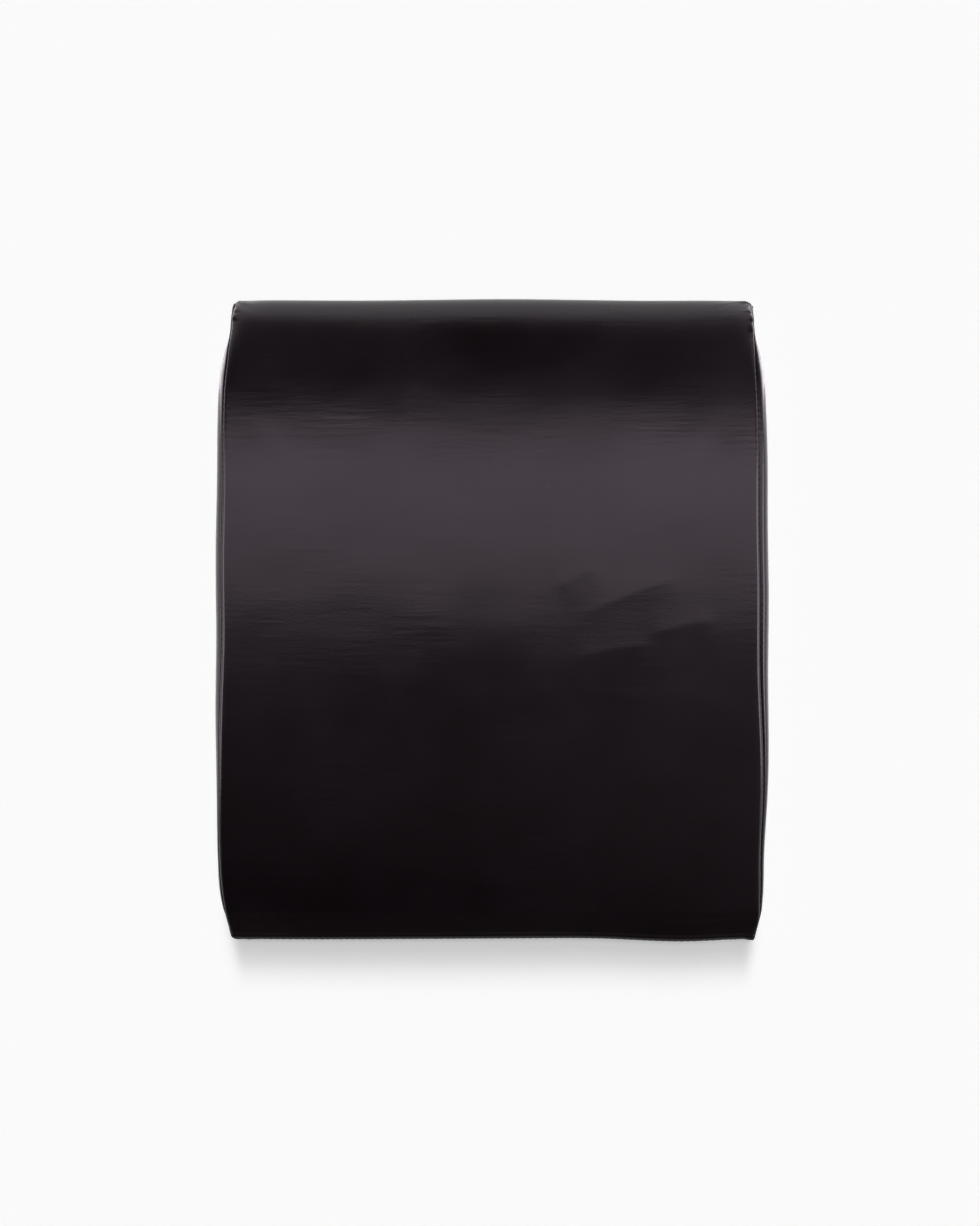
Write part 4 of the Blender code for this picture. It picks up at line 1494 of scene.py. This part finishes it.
def non_slip_vinyl():
    """Soft vinyl with an embossed dot pattern that grips the floor: dull, a little greyer."""
    material, tree, place = new_material("embossed_non_slip_vinyl")
    dots = {"Vector": place, "Scale": 1 / dot_pitch, "Randomness": 0.0}
    dots = add_node(tree, "ShaderNodeTexVoronoi", dots)["Distance"]
    dot = {"Value": dots, "From Min": 0.30, "From Max": 0.42, "To Min": 1.0, "To Max": 0.0}
    dot = add_node(tree, "ShaderNodeMapRange", dot, smooth_range)["Result"]
    grime = {"Vector": place, "Scale": 1 / grime_grain, "Detail": 4.0}
    grime = add_node(tree, "ShaderNodeTexNoise", grime)["Fac"]
    gloss = {"Value": dot, "To Min": 0.72, "To Max": 0.55}
    gloss = add_node(tree, "ShaderNodeMapRange", gloss)["Result"]
    relief = {"Height": dot, "Distance": dot_height}
    dress(tree, grime, "#161516", "#211f20", relief, {"Roughness": gloss, "IOR": 1.5})
    return material


def polyurethane_foam():
    """Cut polyurethane foam: open cells under a millimetre across, matt, with a little sheen."""
    material, tree, place = new_material("cut_polyurethane_foam")
    cells = {"Vector": place, "Scale": 1 / foam_cell}
    cells = add_node(tree, "ShaderNodeTexVoronoi", cells)["Distance"]
    relief = {"Height": cells, "Distance": foam_cell_depth}
    looks = {"Roughness": 0.95, "Sheen Weight": 0.2}
    dress(tree, cells, "#55534f", "#7a7772", relief, looks)
    return material


def woven_tape():
    """Polyester zip tape in a herringbone weave: matt, with fine ribs half a millimetre apart."""
    material, tree, place = new_material("woven_polyester_tape")
    threads = {}
    for direction, pitch in (("X", weave_pitch), ("Z", weft_pitch)):
        bands = {"wave_type": "BANDS", "bands_direction": direction}
        wave = {"Vector": place, "Scale": wave_period / pitch}
        threads[len(threads)] = add_node(tree, "ShaderNodeTexWave", wave, bands)["Fac"]
    weave = add_node(tree, "ShaderNodeMath", threads, {"operation": "MULTIPLY"})[0]
    relief = {"Height": weave, "Distance": weave_height}
    looks = {"Roughness": 0.8, "Sheen Weight": 0.3}
    dress(tree, weave, "#0c0c0d", "#1b1b1d", relief, looks)
    return material


def moulded_acetal():
    """Injection-moulded acetal: hard and smooth, with a soft gloss and a faint flow mark."""
    material, tree, place = new_material("moulded_acetal")
    flow = {"Vector": place, "Scale": 1 / flow_grain, "Detail": 2.0}
    flow = add_node(tree, "ShaderNodeTexNoise", flow)["Fac"]
    gloss = {"Value": flow, "From Min": 0.2, "From Max": 0.8, "To Min": 0.28, "To Max": 0.40}
    gloss = add_node(tree, "ShaderNodeMapRange", gloss, smooth_range)["Result"]
    relief = {"Height": flow, "Distance": flow_height}
    dress(tree, flow, "#1a1a1b", "#252527", relief, {"Roughness": gloss, "IOR": 1.48})
    return material


def painted_zinc():
    """Die-cast zinc under black paint: glossy, with slight orange peel and a little wear."""
    material, tree, place = new_material("painted_die_cast_zinc")
    peel = {"Vector": place, "Scale": 1 / peel_grain, "Detail": 1.0}
    peel = add_node(tree, "ShaderNodeTexNoise", peel)["Fac"]
    rub = {"Vector": place, "Scale": 1 / wear_grain, "Detail": 5.0}
    rub = add_node(tree, "ShaderNodeTexNoise", rub)["Fac"]
    worn = {"Value": rub, "From Min": 0.64, "From Max": 0.74}
    worn = add_node(tree, "ShaderNodeMapRange", worn)["Result"]
    gloss = {"Value": rub, "From Min": 0.2, "From Max": 0.8, "To Min": 0.22, "To Max": 0.38}
    gloss = add_node(tree, "ShaderNodeMapRange", gloss, smooth_range)["Result"]
    relief = {"Height": peel, "Distance": peel_height}
    looks = {"Roughness": gloss, "Metallic": worn, "Coat Weight": 0.6, "Coat Roughness": 0.12}
    dress(tree, worn, "#1c1c1d", "#77787a", relief, looks)
    return material


def bonded_thread():
    """Bonded polyester sewing thread: twisted plies under a bond that gives a soft gloss."""
    material, tree, place = new_material("bonded_polyester_thread")
    plies = {"Vector": place, "Scale": 1 / ply_grain, "Detail": 1.0, "Distortion": 1.0}
    plies = add_node(tree, "ShaderNodeTexNoise", plies)["Fac"]
    relief = {"Height": plies, "Distance": ply_height}
    looks = {"Roughness": 0.5, "Sheen Weight": 0.25}
    dress(tree, plies, "#151315", "#2b272b", relief, looks)
    return material


# Studio: a pale floor, soft suns from beyond the nose, and softboxes that the leather reflects


def seen_rays(tree):
    """1 for the rays that show the backdrop: to the camera, and in gloss and glass."""
    path = add_node(tree, "ShaderNodeLightPath")
    plus = {"operation": "ADD", "use_clamp": True}
    two = {0: path["Is Camera Ray"], 1: path["Is Glossy Ray"]}
    two = add_node(tree, "ShaderNodeMath", two, plus)[0]
    return add_node(tree, "ShaderNodeMath", {0: two, 1: path["Is Transmission Ray"]}, plus)[0]


def make_floor():
    """A plain pale floor that keeps the mat's shadow."""
    material = bpy.data.materials.new("pale_studio_floor")
    material.use_nodes = True
    tree = material.node_tree
    tree.nodes.remove(tree.nodes["Principled BSDF"])
    matt = add_node(tree, "ShaderNodeBsdfDiffuse", {"Color": linear(floor_colour)})[0]
    strength = {0: seen_rays(tree), 1: floor_glow}
    strength = add_node(tree, "ShaderNodeMath", strength, {"operation": "MULTIPLY"})[0]
    glow = add_node(tree, "ShaderNodeEmission", {"Strength": strength})[0]
    both = add_node(tree, "ShaderNodeAddShader", {0: matt, 1: glow})[0]
    fill_inputs(tree.nodes["Material Output"], {"Surface": both})
    line = (-floor_half, floor_half)
    corners = [(x, y, -floor_gap) for y in line for x in line]
    mesh = new_mesh("studio_floor", corners, [], [(0, 1, 3, 2)], [material])
    return new_object("studio_floor", mesh)


def make_world():
    """White near the horizon and dark above it, a little paler on the right, as the studio is."""
    world = bpy.data.worlds.new("studio")
    bpy.context.scene.world = world
    world.use_nodes = True
    tree = world.node_tree
    backdrop = tree.nodes["Background"]
    direction = add_node(tree, "ShaderNodeTexCoord")["Generated"]
    parts = add_node(tree, "ShaderNodeSeparateXYZ", {0: direction})
    aside = add_node(tree, "ShaderNodeMath", {0: parts["X"]}, {"operation": "ABSOLUTE"})[0]
    wide = (math.sin(math.radians(white_to)), math.sin(math.radians(dark_from)))
    glows = []
    for value, (low, high), (at_low, at_high) in (
        (parts["Z"], wide, (backdrop_white, studio_dark)),
        (parts["Z"], ceiling, (0.0, ceiling_glow)),
        (parts["X"], paler_side, (0.0, paler_by)),
        (aside, nose_sides, (0.0, nose_side_glow)),
        (parts["Y"], nose_side_from, (0.0, 1.0)),
    ):
        ranged = {"Value": value, "From Min": low, "From Max": high}
        ranged.update({"To Min": at_low, "To Max": at_high})
        glows.append(add_node(tree, "ShaderNodeMapRange", ranged, smooth_range)["Result"])
    shade, *more, sides, ahead = glows
    ahead = add_node(tree, "ShaderNodeMath", {0: sides, 1: ahead}, {"operation": "MULTIPLY"})[0]
    for glow in (*more, ahead):
        plus = {"operation": "ADD", "use_clamp": True}
        shade = add_node(tree, "ShaderNodeMath", {0: shade, 1: glow}, plus)[0]
    fill_inputs(backdrop, {"Color": (1, 1, 1, 1), "Strength": shade})
    fill = add_node(tree, "ShaderNodeBackground", {"Strength": studio_fill})[0]
    both = {"Fac": seen_rays(tree), 1: fill, 2: backdrop.outputs[0]}
    both = add_node(tree, "ShaderNodeMixShader", both)[0]
    fill_inputs(tree.nodes["World Output"], {"Surface": both})


def make_painted_shade_flag():
    """Painted shade: a dark flag beyond the tall end and its grey foot on the floor, which only the
    gloss sees, so that the tall end's reflections look shaded.
    """
    shade_sheets = []
    for name, colour in (("grey_painted_shade_foot", painted_shade_foot_colour), ("black_painted_shade_flag", painted_shade_flag_colour)):
        material, tree, _ = new_material(name)
        # painted shade colours, seen only in gloss
        matt = {"Base Color": linear(colour), "Specular IOR Level": 0.0}
        fill_inputs(tree.nodes["Principled BSDF"], matt)
        shade_sheets.append(material)
    line = ((flag_near_y, flag_low), (flag_y, flag_low), (flag_y, flag_high))
    corners = [(side * flag_half_width, y, z) for y, z in line for side in (-1, 1)]
    mesh = new_mesh("painted_shade_flag", corners, [], [(0, 1, 3, 2), (2, 3, 5, 4)], shade_sheets)
    mesh.polygons[1].material_index = 1
    flag = new_object("painted_shade_flag", mesh)
    flag.visible_camera = False
    flag.visible_diffuse = False
    flag.visible_shadow = False
    return flag


def aimed(name, lamp, place, target):
    """A lamp at a place, turned to a target."""
    thing = new_object(name, lamp)
    thing.location = place
    run = mathutils.Vector(target) - mathutils.Vector(place)
    thing.rotation_euler = run.to_track_quat("-Z", "Y").to_euler()
    return thing


def make_lamps():
    """Softboxes and low cards that only the gloss sees, and soft suns for the matt surfaces."""
    for place, target, size, power in softboxes:
        box = bpy.data.lights.new("softbox", "AREA")
        box.shape = "RECTANGLE"
        box.size, box.size_y = size
        box.energy = power
        box.color = linear(softbox_colour)[:3]
        lamp = aimed("softbox", box, place, target)
        lamp.visible_camera = False
        lamp.visible_diffuse = False
    for tilt, strength in suns:
        sun = bpy.data.lights.new("soft_sun", "SUN")
        sun.angle = math.radians(sun_spread)
        sun.energy = strength
        tilt = math.radians(tilt)
        lamp = aimed("soft_sun", sun, (0, math.sin(tilt), math.cos(tilt)), (0, 0, 0))
        lamp.visible_glossy = False


def make_camera():
    """Straight above the mat, with its nose up in the picture."""
    lens = bpy.data.cameras.new("product_camera")
    lens.sensor_width = sensor_width
    lens.lens = focal_pixels / picture_height * sensor_width
    camera = new_object("product_camera", lens)
    camera.location = camera_place
    bpy.context.scene.camera = camera


def finish_piece(piece, body, slot, *nodes):
    """Attach a piece to the body that it rides on, and hide the nodes that it stands for; slot, its
    finish, is not used.
    """
    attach(piece, body)
    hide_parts(*nodes)


# The mat

leather = faux_leather()
vinyl = non_slip_vinyl()
foam = polyurethane_foam()
tape_weave = woven_tape()
teeth_plastic = moulded_acetal()
zinc = painted_zinc()
thread = bonded_thread()

coarse_cut = make_cut(swell_cell, swell_cell, coarse_edge_steps)
fine_cut = make_cut(fine_spacing, fine_across, edge_steps, seam_shares)
coarse_grids = {
    "top": top_panel_grid(coarse_cut),
    "base": base_panel_grid(coarse_cut, along_shares(coarse_cut)),
    "wall": rear_wall_grid(coarse_cut),
    "left": gusset_grid(coarse_cut, -1),
    "right": gusset_grid(coarse_cut, 1),
}
moves = swell(coarse_grids)

top = make_top_panel(fine_cut, coarse_grids["top"], moves["top"], leather)
finish_piece(top, "mat", "faux_leather", "top_panel")
base = make_base_panel(fine_cut, vinyl)
finish_piece(base, "mat", "non_slip_vinyl", "base_panel")
foam_block = make_foam(foam)
finish_piece(foam_block, "mat", "foam", "foam_core")

stitches = stitch_tree(thread)
for side_name, side in (("left", -1), ("right", 1)):
    name = f"{side_name}_gusset"
    swelling = (coarse_grids[side_name], moves[side_name])
    gusset = make_gusset(f"{name}_leather", fine_cut, side, *swelling, leather)
    finish_piece(gusset, "mat", "faux_leather", name)
    line, inward = gusset_seam(fine_cut, side)
    row = sew(f"{name}_stitches", stitches, line, inward, seam_depth, True, gusset_seed + side)
    finish_piece(row, "mat", "thread", f"{name}_thread")

top_rows = top_panel_grid(fine_cut)
cross_rows = (
    ("rear_seam", top_rows[0], rear_seam_inward),
    ("rear_base", rear_wall_grid(fine_cut)[0], rear_base_inward),
    ("front_base", top_rows[-1], front_base_inward),
)
for seed, (seam_name, row, inward) in enumerate(cross_rows, cross_seed):
    line, inward = across_seam(row, inward)
    row = sew(f"{seam_name}_stitches", stitches, line, inward, seam_depth, False, seed)
    finish_piece(row, "mat", "thread", f"{seam_name}_thread")

one_row = tooth_tree(teeth_plastic)
for strip_name, side, inward in (("lower", -1, rear_base_inward), ("upper", 1, strip_inward)):
    grid, open_share = lay_strip(fine_cut, side, coarse_grids["wall"], moves["wall"])
    line = np.array(grid[strip_steps - 1])
    line = line[np.abs(line[:, 0]) < zip_row_end]
    strip = make_strip(f"{strip_name}_strip_leather", grid, open_share, inward, leather)
    finish_piece(strip, "mat", "faux_leather", f"{strip_name}_zip_strip")
    surface = every_way(rear_base_inward, len(line))
    row = sew(f"{strip_name}_zip_stitches", stitches, line, surface, 0, False, zip_seed + side)
    finish_piece(row, "mat", "thread", f"{strip_name}_zip_stitching")
    tape = make_tape(f"{strip_name}_tape_weave", side, tape_weave)
    finish_piece(tape, "mat", "zip_tape", f"{strip_name}_zip_tape")
    teeth = make_teeth(f"{strip_name}_teeth_row", side, one_row, teeth_plastic)
    finish_piece(teeth, "mat", "zip_teeth", f"{strip_name}_zip_teeth")

stop_nodes = ("lower_zip_top_stop", "upper_zip_top_stop", "zip_bottom_stop")
for stop, node in zip(make_stops(zinc), stop_nodes):
    finish_piece(stop, "mat", "zip_metal", node)
finish_piece(make_slider(zinc), "slider", "zip_metal", "zip_slider")
finish_piece(make_pull_tab(zinc), "pull_tab", "zip_metal", "zip_pull_tab")

make_floor()
make_painted_shade_flag()
make_world()
make_lamps()
make_camera()
bpy.context.scene.view_settings.view_transform = "Standard"
